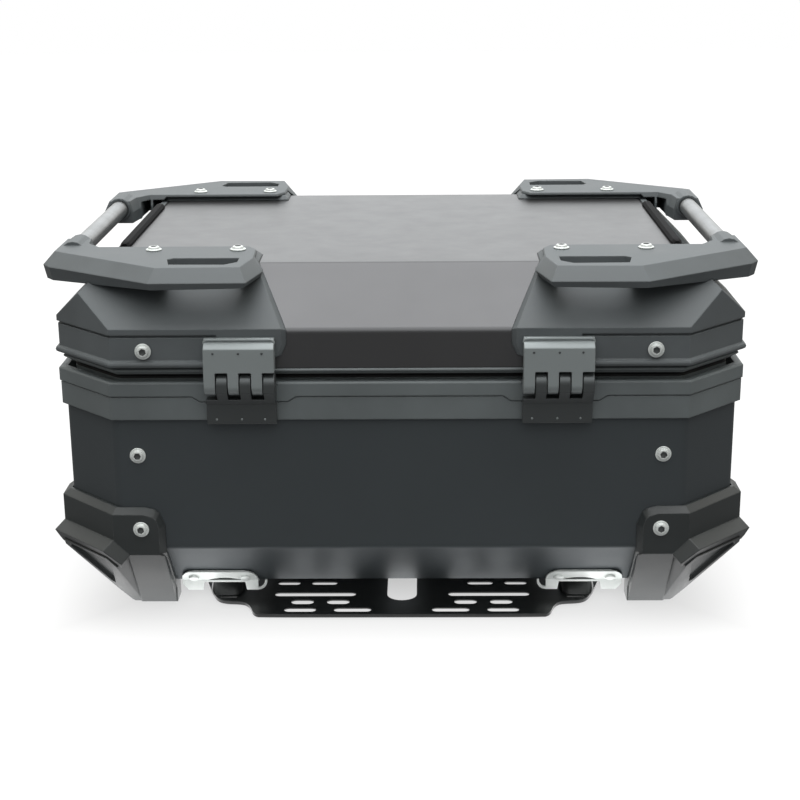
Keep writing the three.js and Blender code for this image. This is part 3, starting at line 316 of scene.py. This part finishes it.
def round_edges(obj, width):
    """Merges a faceted mesh's flat stretches and rounds the edges between them."""
    weld = obj.modifiers.new("weld", "WELD")
    weld.merge_threshold = 0.01 * MM
    flat = obj.modifiers.new("flat", "DECIMATE")
    flat.decimate_type = "DISSOLVE"
    flat.angle_limit = math.radians(1.0)
    bevel = obj.modifiers.new("bevel", "BEVEL")
    bevel.width = width * MM
    bevel.segments = 3
    bevel.limit_method = "ANGLE"
    bevel.angle_limit = math.radians(20)
    bevel.use_clamp_overlap = True
    bevel.miter_outer = "MITER_ARC"
    shade(obj)


def shade(obj):
    """Smooth shading over rounded edges only, with large flat faces kept flat."""
    smooth = obj.modifiers.new("smooth", "NODES")
    smooth.node_group = SMOOTHING
    weighted = obj.modifiers.new("weighted", "WEIGHTED_NORMAL")
    weighted.keep_sharp = True


def dress(obj, key):
    obj.data.materials.clear()
    obj.data.materials.append(MATERIALS[key])


def dress_frame():
    for name, obj in NODES.items():
        start, key, width = next(row for row in DRESS if name.startswith(row[0]))
        dress(obj, key)
        round_edges(obj, width)


dress_frame()


# ---- mesh building ----------------------------------------------------------------------------


def add_piece(name, points, faces, key):
    """A closed mesh in the row frame, from points in millimetres."""
    mesh = bpy.data.meshes.new(name)
    mesh.from_pydata([tuple(part * MM for part in point) for point in points], [], faces)
    work = bmesh.new()
    work.from_mesh(mesh)
    bmesh.ops.recalc_face_normals(work, faces=work.faces)
    work.to_mesh(mesh)
    work.free()
    obj = bpy.data.objects.new(name, mesh)
    bpy.context.scene.collection.objects.link(obj)
    dress(obj, key)
    shade(obj)
    return obj


def stand_for(obj, node):
    """obj rides on the body of the CAD node that it stands for."""
    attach(obj, BODY_OF[node])
    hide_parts(node)


def loft(rings, ends=True):
    """Points and faces of a skin over rings with equal numbers of points."""
    count = len(rings[0])
    points = [point for ring in rings for point in ring]
    faces = []
    for row in range(len(rings) - 1):
        for i in range(count):
            j = (i + 1) % count
            low, high = row * count, (row + 1) * count
            faces.append((low + i, low + j, high + j, high + i))
    if ends:
        faces.append(tuple(range(count)))
        faces.append(tuple(range((len(rings) - 1) * count, len(rings) * count)))
    return points, faces


def between(a, b, share):
    return tuple(p + (q - p) * share for p, q in zip(a, b))


def stepped(corner, towards, reach):
    """A point `reach` away from a corner, or a bit less than half way along a short side."""
    return between(corner, towards, min(0.45, reach / max(math.dist(corner, towards), 1e-6)))


SOFT_STEPS = 4  # facets in a rounded corner


def softened(before, corner, after, reach):
    """Points that round a corner, starting and ending `reach` away from it."""
    start = stepped(corner, before, reach)
    end = stepped(corner, after, reach)
    made = []
    for step in range(SOFT_STEPS + 1):
        share = step / SOFT_STEPS
        made.append(between(between(start, corner, share), between(corner, end, share), share))
    return made


def soft_ring(ring, reach):
    """A ring with each of its corners rounded."""
    count = len(ring)
    return [
        point
        for i in range(count)
        for point in softened(ring[i - 1], ring[i], ring[(i + 1) % count], reach)
    ]


def soft_levels(levels, reaches):
    """Levels, lists of equal numbers of points, with the creases between them rounded."""
    made = [levels[0]]
    for i in range(1, len(levels) - 1):
        if not reaches[i]:
            made.append(levels[i])
            continue
        columns = [
            softened(before, corner, after, reaches[i])
            for before, corner, after in zip(levels[i - 1], levels[i], levels[i + 1])
        ]
        made.extend([list(row) for row in zip(*columns)])
    made.append(levels[-1])
    return made


# Eight-sided outlines: half width, half depth, and x + y on the 45 degree corner faces.
RIM_SHAPE = (294.5, 226.5, 468.3)
LID_SHAPE = (289.7, 226.5, 464.3)


def with_opposites(corners, z):
    """Four corners and the four opposite them, at a height."""
    return [(sign * x, sign * y, z) for sign in (1, -1) for x, y in corners]


def octagon(shape, inset, z):
    """The eight-sided outline of the case, set in by a distance, at a height."""
    x, y = shape[0] - inset, shape[1] - inset
    total = shape[2] - math.sqrt(2) * inset
    return with_opposites([(total - y, y), (x, total - x), (x, x - total), (total - y, -y)], z)


def cut_rectangle(x, y, cut, z):
    """A rectangle from its half sizes, each of its corners cut at 45 degrees, at a height."""
    return with_opposites([(x - cut, y), (x, y - cut), (x, cut - y), (x - cut, -y)], z)


# ---- the two aluminium shells -----------------------------------------------------------------

def add_tub():
    """The folded tub: a floor, 45 degree slopes up to a crease, and upright walls above it."""
    crease, floor, top, wall, inset = 71, 20.5, 206.6, 2, 3.5
    inner_crease = crease + wall * math.tan(math.pi / 8)
    levels = [
        octagon(RIM_SHAPE, inset + wall + inner_crease - floor - wall, floor + wall),
        octagon(RIM_SHAPE, inset + wall, inner_crease),
        octagon(RIM_SHAPE, inset + wall, top),
        octagon(RIM_SHAPE, inset, top),
        octagon(RIM_SHAPE, inset, crease),
        octagon(RIM_SHAPE, inset + crease - floor, floor),
    ]
    levels = soft_levels(levels, [0, 3, 0.5, 0.5, 3, 0])
    rings = [soft_ring(level, 5) for level in levels]
    stand_for(add_piece("tub_panel", *loft(rings), "body"), "body_shell")


def lid_top(inset, z):
    """The lid's flat top: a rectangle whose corners are cut by a hair."""
    return cut_rectangle(243 - inset, 172 - inset, 3, z)


def add_lid():
    """The pressed lid: upright sides, four slopes, and a top that rises half a millimetre to its middle."""
    bottom, crease, top, wall, crown = 232.6, 265, 310.6, 2, 0.5
    levels = [
        lid_top(wall / 2, top - wall),
        octagon(LID_SHAPE, wall, crease - 1),
        octagon(LID_SHAPE, wall, bottom),
        octagon(LID_SHAPE, 0, bottom),
        octagon(LID_SHAPE, 0, crease),
        lid_top(0, top),
        [between((0, 0, top + crown), point, 0.93) for point in lid_top(0, top)],
    ]
    levels = soft_levels(levels, [0, 2, 0.5, 0.5, 3.5, 3.5, 0])
    rings = [soft_ring(level, 2.5) for level in levels]
    stand_for(add_piece("lid_panel", *loft(rings), "lid"), "lid_skin")


# ---- screws -----------------------------------------------------------------------------------

# Radius and height of the rings up a flanged button head.
SCREW_HEAD = [(6.4, 0), (6.8, 0.3), (6.8, 0.8), (6.4, 1.1), (5.3, 1.2), (5.0, 1.5), (4.9, 2.3), (4.6, 2.9),
              (4.1, 3.25), (3.5, 3.4)]
# Radius and height of the six-sided rings down into its socket.
SCREW_SOCKET = [(3.1, 3.35), (2.9, 3.0), (2.9, 1.2), (0.8, 0.7)]
SCREW_HEIGHT = 3.4
SHANK_RADIUS = 2.6
LONG_SHANK, SHORT_SHANK = 14, 8


def screw_rings(shank):
    """Rings about +Z of a flanged button head with a six-sided socket, its flange on z = 0."""
    count = 24

    def circle(radius, z):
        return [
            (radius * math.cos(2 * math.pi * i / count), radius * math.sin(2 * math.pi * i / count), z)
            for i in range(count)
        ]

    def hexagon(radius, z):
        apothem = radius * math.cos(math.pi / 6)
        made = []
        for i in range(count):
            angle = 2 * math.pi * i / count
            off = (angle + math.pi / 6) % (math.pi / 3) - math.pi / 6
            reach = apothem / math.cos(off)
            made.append((reach * math.cos(angle), reach * math.sin(angle), z))
        return made

    rings = [circle(SHANK_RADIUS, -shank), circle(SHANK_RADIUS, 0)]
    rings += [circle(radius, z) for radius, z in SCREW_HEAD]
    rings += [hexagon(radius, z) for radius, z in SCREW_SOCKET]
    return rings


def name_number(name):
    """A small number that differs from name to name, the same on every run."""
    return sum(ord(letter) * (i + 1) for i, letter in enumerate(name))


def add_screw(node):
    """A screw in place of its plain CAD one, its socket turned by an amount of its own."""
    low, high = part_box(node)
    middle = (low + high) / 2 / MM
    tightened = Matrix.Rotation(math.radians(11 * (name_number(node) % 5)), 3, "Z")
    if node.startswith("bracket"):
        rings = screw_rings(LONG_SHANK)
        base = Vector((middle.x, middle.y, high.z / MM - SCREW_HEIGHT))
        turn = tightened
    else:
        rings = screw_rings(SHORT_SHANK)
        side = 1 if middle.y > 0 else -1
        base = Vector((middle.x, (high.y if side > 0 else low.y) / MM - side * SCREW_HEIGHT, middle.z))
        turn = Matrix.Rotation(math.radians(-90 * side), 3, "X") @ tightened
    rings = [[tuple(base + turn @ Vector(point)) for point in ring] for ring in rings]
    screw = add_piece("head_" + node, *loft(rings), "steel")
    # The socket's faces take the darker copy, which is painted shade in the recess.
    screw.data.materials.append(MATERIALS["socket"])
    socket_start = (len(rings) - len(SCREW_SOCKET)) * len(rings[0])
    for face in screw.data.polygons:
        if min(face.vertices) >= socket_start:
            face.material_index = 1
    stand_for(screw, node)


# ---- soft pieces ------------------------------------------------------------------------------

# The strap: place and size, how far below and above the hinge it is anchored, and the lid's full opening.
STAY = {"x": 261, "half_width": 10, "thickness": 1.6, "anchor_y": -100, "drop": 34, "opening": 95}
HINGE_Y, HINGE_Z = -236, 222  # the lid's turning axis, as in the record


def stay_point(share):
    """The slack strap's centre line, which pulls straight when the lid is fully open."""
    half = math.radians(STAY["opening"]) / 2
    reach = STAY["anchor_y"] - HINGE_Y
    apart = math.cos(half) * reach - math.sin(half) * STAY["drop"]
    eased = share * share * (3 - 2 * share)
    angle = half * (2 * eased - 1)
    up = STAY["drop"] * (2 * share - 1)
    return HINGE_Y + (apart + up * math.sin(angle)) / math.cos(angle), HINGE_Z + up


def add_stay(side):
    """A woven strap with thicker selvedges, bending between case and lid."""
    steps = 60
    line = [stay_point(i / steps) for i in range(steps + 1)]
    half, thick = STAY["half_width"], STAY["thickness"] / 2
    selvedge = [(-half, -thick * 0.6), (-half + 0.5, -thick), (-half + 2.2, -thick),
                (-half + 2.6, -thick * 0.75)]
    section = selvedge + [(-x, depth) for x, depth in reversed(selvedge)]
    section += [(x, -depth) for x, depth in reversed(section)]
    rings = []
    for i, (y, z) in enumerate(line):
        y0, z0 = line[max(i - 1, 0)]
        y1, z1 = line[min(i + 1, steps)]
        length = math.hypot(y1 - y0, z1 - z0)
        across = ((z1 - z0) / length, -(y1 - y0) / length)
        rib = 1 + 0.06 * (i % 2)
        rings.append([
            (side * STAY["x"] + x, y + depth * rib * across[0], z + depth * rib * across[1])
            for x, depth in section
        ])
    name = "left" if side < 0 else "right"
    strap = add_piece("strap_" + name, *loft(rings), "strap")
    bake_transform(strap)
    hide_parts("lid_stay_" + name)


def add_mat():
    """A soft liner on the tub's floor, with a raised border."""
    low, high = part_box("floor_mat")
    x, y, z = high.x / MM, high.y / MM, low.z / MM
    section = [(0.5, 0), (0, 0.6), (0, 2.4), (0.8, 3), (7, 3), (8, 2.4), (20, 2.4)]
    rings = [soft_ring(cut_rectangle(x - inset, y - inset, 12, z + up), 6) for inset, up in section]
    stand_for(add_piece("liner_mat", *loft(rings), "rubber"), "floor_mat")


def add_seal():
    """The bulb seal on the rim, a round bead on a flat foot."""
    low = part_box("rim_seal")[0].z / MM
    bulb = [(12.2, low), (12.2, low + 1.6), (13.0, low + 2.2)]
    bulb += [(15 - 2.8 * math.cos(a), low + 5.4 + 3.1 * math.sin(a))
             for a in (math.radians(-40 + 26 * i) for i in range(11))]
    bulb += [(17.0, low + 2.2), (17.8, low + 1.6), (17.8, low)]
    columns = [soft_ring(octagon(RIM_SHAPE, inset, z), 6) for inset, z in bulb]
    columns.append(columns[0])
    points, faces = loft(columns, ends=False)
    count = len(columns[0])
    last = (len(columns) - 1) * count
    faces = [tuple(i - last if i >= last else i for i in face) for face in faces]
    stand_for(add_piece("bulb_seal", points[:last], faces, "rubber"), "rim_seal")


# ---- base plate -------------------------------------------------------------------------------

# The right half of the plate's outline in plan, from the front's middle to the back's, before it is smoothed.
PLATE_HALF = [(0, -212), (125, -212), (129, -210), (132, -205.5), (134.5, -196), (138, -188.5), (143, -184),
              (158, -183), (166, -178), (172, -164), (177, -149), (181, -134), (181, -120), (146, -96),
              (134, -70), (134, 163), (114, 197), (0, 197)]
# Rows of slots on the right half: y of the row, width of its slots, and where each starts and ends in x.
SLOT_ROWS = [
    (-202, 8.5, [(27, 60), (76, 104)]),
    (-174, 2.6, [(149, 164)]),
    (-185, 9.5, [(47, 67), (79, 99)]),
    (-168, 8.5, [(42, 115)]),
    (-143, 7, [(60, 83), (94, 114)]),
    (-110, 8.5, [(36, 110)]),
    (60, 8.5, [(20, 52), (70, 110)]),
    (110, 8.5, [(30, 110)]),
    (160, 8.5, [(20, 52), (70, 110)]),
]


def smooth_closed(points, rounds):
    """Cuts the corners of a closed outline a few times, which turns its bends into curves."""
    for _ in range(rounds):
        points = [
            between(a, b, share)
            for a, b in zip(points, points[1:] + points[:1])
            for share in (0.25, 0.75)
        ]
    return points


def arc(x, y, radius, start, step, count):
    """Points on a circle in plan, `step` degrees apart."""
    angles = [math.radians(start + step * i) for i in range(count)]
    return [(x + radius * math.cos(angle), y + radius * math.sin(angle)) for angle in angles]


def stadium(x0, x1, y, width):
    """A slot with round ends."""
    radius = width / 2
    return arc(x1 - radius, y, radius, -90, 22.5, 9) + arc(x0 + radius, y, radius, 90, 22.5, 9)


def sheet_mesh(name, loops, z, depth, edge):
    """A flat sheet with holes and rounded edges, from closed loops in plan, `depth` thick from z up."""
    curve = bpy.data.curves.new(name, "CURVE")
    curve.dimensions = "2D"
    curve.fill_mode = "BOTH"
    curve.extrude = (depth / 2 - edge) * MM
    curve.bevel_depth = edge * MM
    curve.bevel_resolution = 2
    curve.offset = -edge * MM
    for loop in loops:
        spline = curve.splines.new("POLY")
        spline.points.add(len(loop) - 1)
        for point, (x, y) in zip(spline.points, loop):
            point.co = (x * MM, y * MM, 0, 1)
        spline.use_cyclic_u = True
    holder = bpy.data.objects.new(name + "_curve", curve)
    bpy.context.scene.collection.objects.link(holder)
    bpy.context.view_layer.update()
    mesh = bpy.data.meshes.new_from_object(holder.evaluated_get(bpy.context.evaluated_depsgraph_get()))
    bpy.data.objects.remove(holder)
    work = bmesh.new()
    work.from_mesh(mesh)
    bmesh.ops.remove_doubles(work, verts=work.verts, dist=1e-6)
    bmesh.ops.recalc_face_normals(work, faces=work.faces)
    points = [(v.co.x / MM, v.co.y / MM, v.co.z / MM + z + depth / 2) for v in work.verts]
    faces = [tuple(v.index for v in face.verts) for face in work.faces]
    work.free()
    bpy.data.meshes.remove(mesh)
    return points, faces


def merged(*parts):
    """Points and faces of several meshes as one."""
    points, faces = [], []
    for more_points, more_faces in parts:
        start = len(points)
        points += more_points
        faces += [tuple(start + i for i in face) for face in more_faces]
    return points, faces


SHEET_LOW, SHEET_THICK = 1.9, 1.6
TONGUE_X = 159
# The tongue's cross-sections from the front: y, half width, and height of its crest.
TONGUE_ROWS = [(-170, 9, 3), (-167, 12, 7), (-163, 14, 11.5), (-157, 15, 14.3), (-150, 15.5, 15.3),
               (-143, 15, 14), (-137, 13, 8), (-132, 11, 3)]


def tongue(side):
    """The domed ear that passes under the clip's arch."""
    rings = []
    for y, half, high in TONGUE_ROWS:
        rise = high - SHEET_LOW
        flank = [(1, 0), (1, 0.35), (0.86, 0.72), (0.62, 0.93)]
        left = [(-out * half, SHEET_LOW + up * rise) for out, up in flank]
        shape = left + [(0, high)] + [(-x, z) for x, z in reversed(left)]
        rings.append([(side * TONGUE_X + x, y, z) for x, z in shape])
    return loft(rings)


def box_part(x, y, z):
    """A block from its two ends on each axis."""
    rings = [[(x[0], y[0], h), (x[1], y[0], h), (x[1], y[1], h), (x[0], y[1], h)] for h in z]
    return loft(rings)


def catch_tab():
    """The upright catch tab at the back with its window, as four bars."""
    y, bottom, top, sill, lintel = (190, 193), 1.5, 36, 24.8, 33.2
    return [box_part((-13, -9), y, (bottom, top)), box_part((9, 13), y, (bottom, top)),
            box_part((-9, 9), y, (bottom, sill)), box_part((-9, 9), y, (lintel, top))]


def add_plate():
    """The plate: a slotted sheet with a thicker hem, two pads under it, two tongues and the catch tab."""
    other = [(-x, y) for x, y in reversed(PLATE_HALF[1:-1])]
    outer = smooth_closed(PLATE_HALF + other, 2)
    slots = [stadium(x0, x1, y, width) for y, width, spans in SLOT_ROWS for x0, x1 in spans]
    slots += [[(-x, y) for x, y in reversed(slot)] for slot in slots]
    opening = arc(0, -168.5, 13.2, 180, 15, 13) + arc(0, -40, 13.2, 0, 15, 13)
    sheet = sheet_mesh("plate", [outer, opening, *slots], SHEET_LOW, SHEET_THICK, 0.5)
    middle_y = -7.5
    inner = [(x * 0.986, (y - middle_y) * 0.988 + middle_y) for x, y in outer]
    hem = sheet_mesh("hem", [outer, inner], 0, 3.2, 0.6)
    pads = [box_part((-60, 60), (-20, 45), (0, 2.2)), box_part((-40, 40), (165, 194), (0, 2.2))]
    points, faces = merged(sheet, hem, *pads, tongue(1), tongue(-1), *catch_tab())
    stand_for(add_piece("rack_plate", points, faces, "plate"), "base_plate")


# ---- hinge and clip details -------------------------------------------------------------------

# Pin heads on each leaf: where they are across it, their face's y, and their height on the upper leaf and
# above the lower leaf's bottom.
PIN_SHARES = (0.14, 0.5, 0.83)
UPPER_FACE, UPPER_PINS = -243.45, 249.5
LOWER_FACE, LOWER_PINS = -232.7, 4.6
# Rivets of a clip: distances in from its outer end, and the middle of the 45 degree lap they sit on.
RIVET_INSETS = (11, 57)
RIVET_Y, RIVET_Z = -182.5, 25.2


def dome(centre, radius, height, dip=0, sides=12):
    """A small round head facing the front, and turned down by `dip` degrees."""
    dip = math.radians(dip)
    rings = []
    for reach, out in [(1, -0.6), (1, 0), (0.92, 0.45), (0.7, 0.8), (0.35, 1.0)]:
        ring = []
        for i in range(sides):
            angle = 2 * math.pi * i / sides
            along, rise = radius * reach * math.cos(angle), radius * reach * math.sin(angle)
            lift = height * out
            ring.append((
                centre[0] + along,
                centre[1] - lift * math.cos(dip) - rise * math.sin(dip),
                centre[2] - lift * math.sin(dip) + rise * math.cos(dip),
            ))
        rings.append(ring)
    return loft(rings)


def rolled_lip(x0, x1, y, z, radius):
    """A round bar along the top of a leaf, with its ends turned down a little."""
    path = [(x0, z - 3.2), (x0 + 0.3, z - 1.6), (x0 + 1.4, z - 0.4), (x0 + 3, z)]
    path += [(x1 - 3, z), (x1 - 1.4, z - 0.4), (x1 - 0.3, z - 1.6), (x1, z - 3.2)]
    rings = []
    for i, (x, h) in enumerate(path):
        before, after = path[max(i - 1, 0)], path[min(i + 1, len(path) - 1)]
        run = math.hypot(after[0] - before[0], after[1] - before[1])
        nx, nz = -(after[1] - before[1]) / run, (after[0] - before[0]) / run
        rings.append([
            (x + radius * math.sin(a) * nx, y - radius * math.cos(a), h + radius * math.sin(a) * nz)
            for a in (math.radians(36 * k) for k in range(10))
        ])
    return loft(rings)


def add_detail(name, mesh, key, node):
    """A detail that rides on the body of a CAD node, which stays shown."""
    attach(add_piece(name, *mesh, key), BODY_OF[node])


def add_hinge_details(name):
    """The rolled top edge of a hinge's upper leaf, and the pin heads on both leaves."""
    upper, lower = "hinge_upper_leaf_" + name, "hinge_lower_leaf_" + name
    low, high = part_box(upper)
    x0, x1 = low.x / MM, high.x / MM
    top, rear = high.z / MM, high.y / MM
    lip = rolled_lip(x0 + 0.4, x1 - 0.4, rear - 5.3, top - 0.9, 1.3)
    add_detail("leaf_lip_" + name, lip, "hinge_upper", upper)
    lower_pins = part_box(lower)[0].z / MM + LOWER_PINS

    def pins(y, z):
        return merged(*[dome((x0 + (x1 - x0) * share, y, z), 1.0, 0.5) for share in PIN_SHARES])

    # The upper pins keep the plain hinge coat, which is darker than their painted lighter leaf. The lower
    # pins take that painted lighter copy.
    add_detail("leaf_pins_upper_" + name, pins(UPPER_FACE, UPPER_PINS), "hinge", upper)
    add_detail("leaf_pins_lower_" + name, pins(LOWER_FACE, lower_pins), "hinge_upper", lower)


def add_clip_rivets(name):
    """Two domed rivet heads on the front of a plate clip, over the flat ones of its CAD solid."""
    clip = "plate_clip_" + name
    low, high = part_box(clip)
    side = SIDES[name]
    outer = (high.x if side > 0 else low.x) / MM
    centres = [(outer - side * inset, RIVET_Y, RIVET_Z) for inset in RIVET_INSETS]
    heads = [dome(centre, 4.7, 1.5, dip=45, sides=24) for centre in centres]
    add_detail("clip_rivets_" + name, merged(*heads), "steel", clip)


def add_pieces():
    add_tub()
    add_lid()
    for node in NODES:
        if "screw" in node:
            add_screw(node)
    for side in SIDES.values():
        add_stay(side)
    add_mat()
    add_seal()
    add_plate()
    for name in SIDES:
        add_hinge_details(name)
        add_clip_rivets(name)


add_pieces()


# ---- stage, in metres -------------------------------------------------------------------------

# Strengths of the studio's soft surroundings. The floor's strengths are painted light: a painted glow that is
# bright under the case, and a painted shadow under the case as the camera sees it.
PAINTED_GLOW_UNDER, PAINTED_GLOW_AROUND = 1.9, 0.22
PAINTED_SHADOW_SEEN_UNDER, SEEN_AROUND = 0.6, 1.1  # the same floor as the camera sees it
SKY_FRONT, SKY_BACK, SKY_TOP = 0.22, 1.3, 1.95
SIDE_SHARE = 0.4  # how much of the surroundings is left far to either side
SIDE_TINT, MIDDLE_TINT = (1.0, 0.93, 0.78, 1), (0.97, 0.99, 1.0, 1)


def add_floor():
    """A pale light table with painted light: nearly white to the camera except for a painted shadow under the
    case, and to everything else a painted glow, bright under the case and dim in front of it.
    """
    mesh = bpy.data.meshes.new("floor")
    half = 6.0
    corners = [(-half, -half, 0), (half, -half, 0), (half, half, 0), (-half, half, 0)]
    mesh.from_pydata(corners, [], [(0, 1, 2, 3)])
    floor = bpy.data.objects.new("floor", mesh)
    floor.location.z = -0.002
    bpy.context.scene.collection.objects.link(floor)
    s = Shader("floor_paper")
    tone = s.mix(s.noise(3.0), (0.86, 0.86, 0.86), (0.9, 0.9, 0.9))
    paper = s.node("ShaderNodeBsdfDiffuse", Color=tone)
    where = s.node("ShaderNodeSeparateXYZ", Vector=s.place())
    along = s.math("ABSOLUTE", where.outputs["X"])
    depth = s.math("ABSOLUTE", where.outputs["Y"])
    # How far a point is from the case's middle, the case being 0.07 longer each way in X than in Y.
    reach = s.math("MAXIMUM", s.math("SUBTRACT", along, 0.07), depth)
    # Painted light: the floor glows brightest under the case, which lights the case's lower faces from below.
    painted_glow = s.ramp(reach, PAINTED_GLOW_UNDER, PAINTED_GLOW_AROUND, 0.195, 0.26)
    # Painted shadow: the camera sees the floor dimmer under the case.
    seen = s.node("ShaderNodeEmission", Strength=s.ramp(reach, PAINTED_SHADOW_SEEN_UNDER, SEEN_AROUND, 0.1, 0.26))
    own = s.node("ShaderNodeMixShader", Fac=0.2)
    s.tree.links.new(seen.outputs[0], own.inputs[1])
    s.tree.links.new(paper.outputs[0], own.inputs[2])
    painted_bounce_glow = s.node("ShaderNodeEmission", Strength=painted_glow)
    rays = s.node("ShaderNodeLightPath")
    both = s.node("ShaderNodeMixShader", Fac=rays.outputs["Is Camera Ray"])
    s.tree.links.new(painted_bounce_glow.outputs[0], both.inputs[1])
    s.tree.links.new(own.outputs[0], both.inputs[2])
    s.tree.links.new(both.outputs[0], s.node("ShaderNodeOutputMaterial").inputs["Surface"])
    mesh.materials.append(s.material)


def add_world():
    """White for the camera; for everything else a bright ceiling and back, and a dim front."""
    world = bpy.data.worlds.new("studio")
    bpy.context.scene.world = world
    world.use_nodes = True
    tree = world.node_tree
    tree.nodes.clear()
    new, link = tree.nodes.new, tree.links.new
    direction = new("ShaderNodeSeparateXYZ")
    link(new("ShaderNodeTexCoord").outputs["Generated"], direction.inputs[0])

    def ease(source, from_low, from_high, low, high):
        """A smooth step from one strength to another, each a number or a socket."""
        made = new("ShaderNodeMapRange")
        made.interpolation_type = "SMOOTHSTEP"
        link(source, made.inputs["Value"])
        ends = {"From Min": from_low, "From Max": from_high, "To Min": low, "To Max": high}
        for socket, value in ends.items():
            if isinstance(value, bpy.types.NodeSocket):
                link(value, made.inputs[socket])
            else:
                made.inputs[socket].default_value = value
        return made.outputs["Result"]

    depth = ease(direction.outputs["Y"], -0.3, 0.75, SKY_FRONT, SKY_BACK)
    across = new("ShaderNodeMath")
    across.operation = "ABSOLUTE"
    link(direction.outputs["X"], across.inputs[0])
    share = ease(across.outputs[0], 0.1, 0.85, 1.0, SIDE_SHARE)
    total = ease(direction.outputs["Z"], 0.14, 0.78, depth, SKY_TOP)
    dimmed = new("ShaderNodeMath")
    dimmed.operation = "MULTIPLY"
    link(total, dimmed.inputs[0])
    link(share, dimmed.inputs[1])
    lit = new("ShaderNodeBackground")
    link(dimmed.outputs[0], lit.inputs["Strength"])
    warmth = new("ShaderNodeMix")
    warmth.data_type = "RGBA"
    link(share, warmth.inputs["Factor"])
    warmth.inputs["A"].default_value = SIDE_TINT
    warmth.inputs["B"].default_value = MIDDLE_TINT
    link(warmth.outputs["Result"], lit.inputs["Color"])
    seen = new("ShaderNodeBackground")
    seen.inputs["Color"].default_value = (1, 1, 1, 1)
    rays = new("ShaderNodeLightPath")
    mix = new("ShaderNodeMixShader")
    link(rays.outputs["Is Camera Ray"], mix.inputs["Fac"])
    link(lit.outputs[0], mix.inputs[1])
    link(seen.outputs[0], mix.inputs[2])
    link(mix.outputs[0], new("ShaderNodeOutputWorld").inputs["Surface"])


def add_softbox(name, place, target, size, power):
    """A rectangular lamp at a place, facing a target."""
    data = bpy.data.lights.new(name, "AREA")
    data.shape = "RECTANGLE"
    data.size, data.size_y = size
    data.energy = power
    lamp = bpy.data.objects.new(name, data)
    lamp.location = place
    lamp.rotation_mode = "QUATERNION"
    lamp.rotation_quaternion = (Vector(target) - Vector(place)).to_track_quat("-Z", "Y")
    bpy.context.scene.collection.objects.link(lamp)


CAMERA_PLACE = (0.0206, -1.5054, 0.5897)
CAMERA_TURN = (-0.9, 16.76, -0.48)  # to the side, down, and about the view, in degrees


def add_camera():
    """The main view: 72 mm lens on a 36 mm frame, 16.8 degrees down, a little from the right."""
    yaw, pitch, roll = (math.radians(angle) for angle in CAMERA_TURN)
    forward = Vector((math.sin(yaw) * math.cos(pitch), math.cos(yaw) * math.cos(pitch), -math.sin(pitch)))
    level = Vector((math.cos(yaw), -math.sin(yaw), 0))
    upright = level.cross(forward)
    right = level * math.cos(roll) + upright * math.sin(roll)
    up = upright * math.cos(roll) - level * math.sin(roll)
    data = bpy.data.cameras.new("camera")
    data.lens = 72
    data.sensor_width = 36
    camera = bpy.data.objects.new("camera", data)
    turn = Matrix((right, up, -forward)).transposed().to_4x4()
    camera.matrix_world = Matrix.Translation(CAMERA_PLACE) @ turn
    bpy.context.scene.collection.objects.link(camera)
    bpy.context.scene.camera = camera


add_floor()
add_world()
add_softbox("ceiling_box", (0, -0.1, 1.8), (0, 0, 0.2), (1.8, 1.2), 9)
add_camera()
bpy.context.scene.view_settings.view_transform = "Standard"
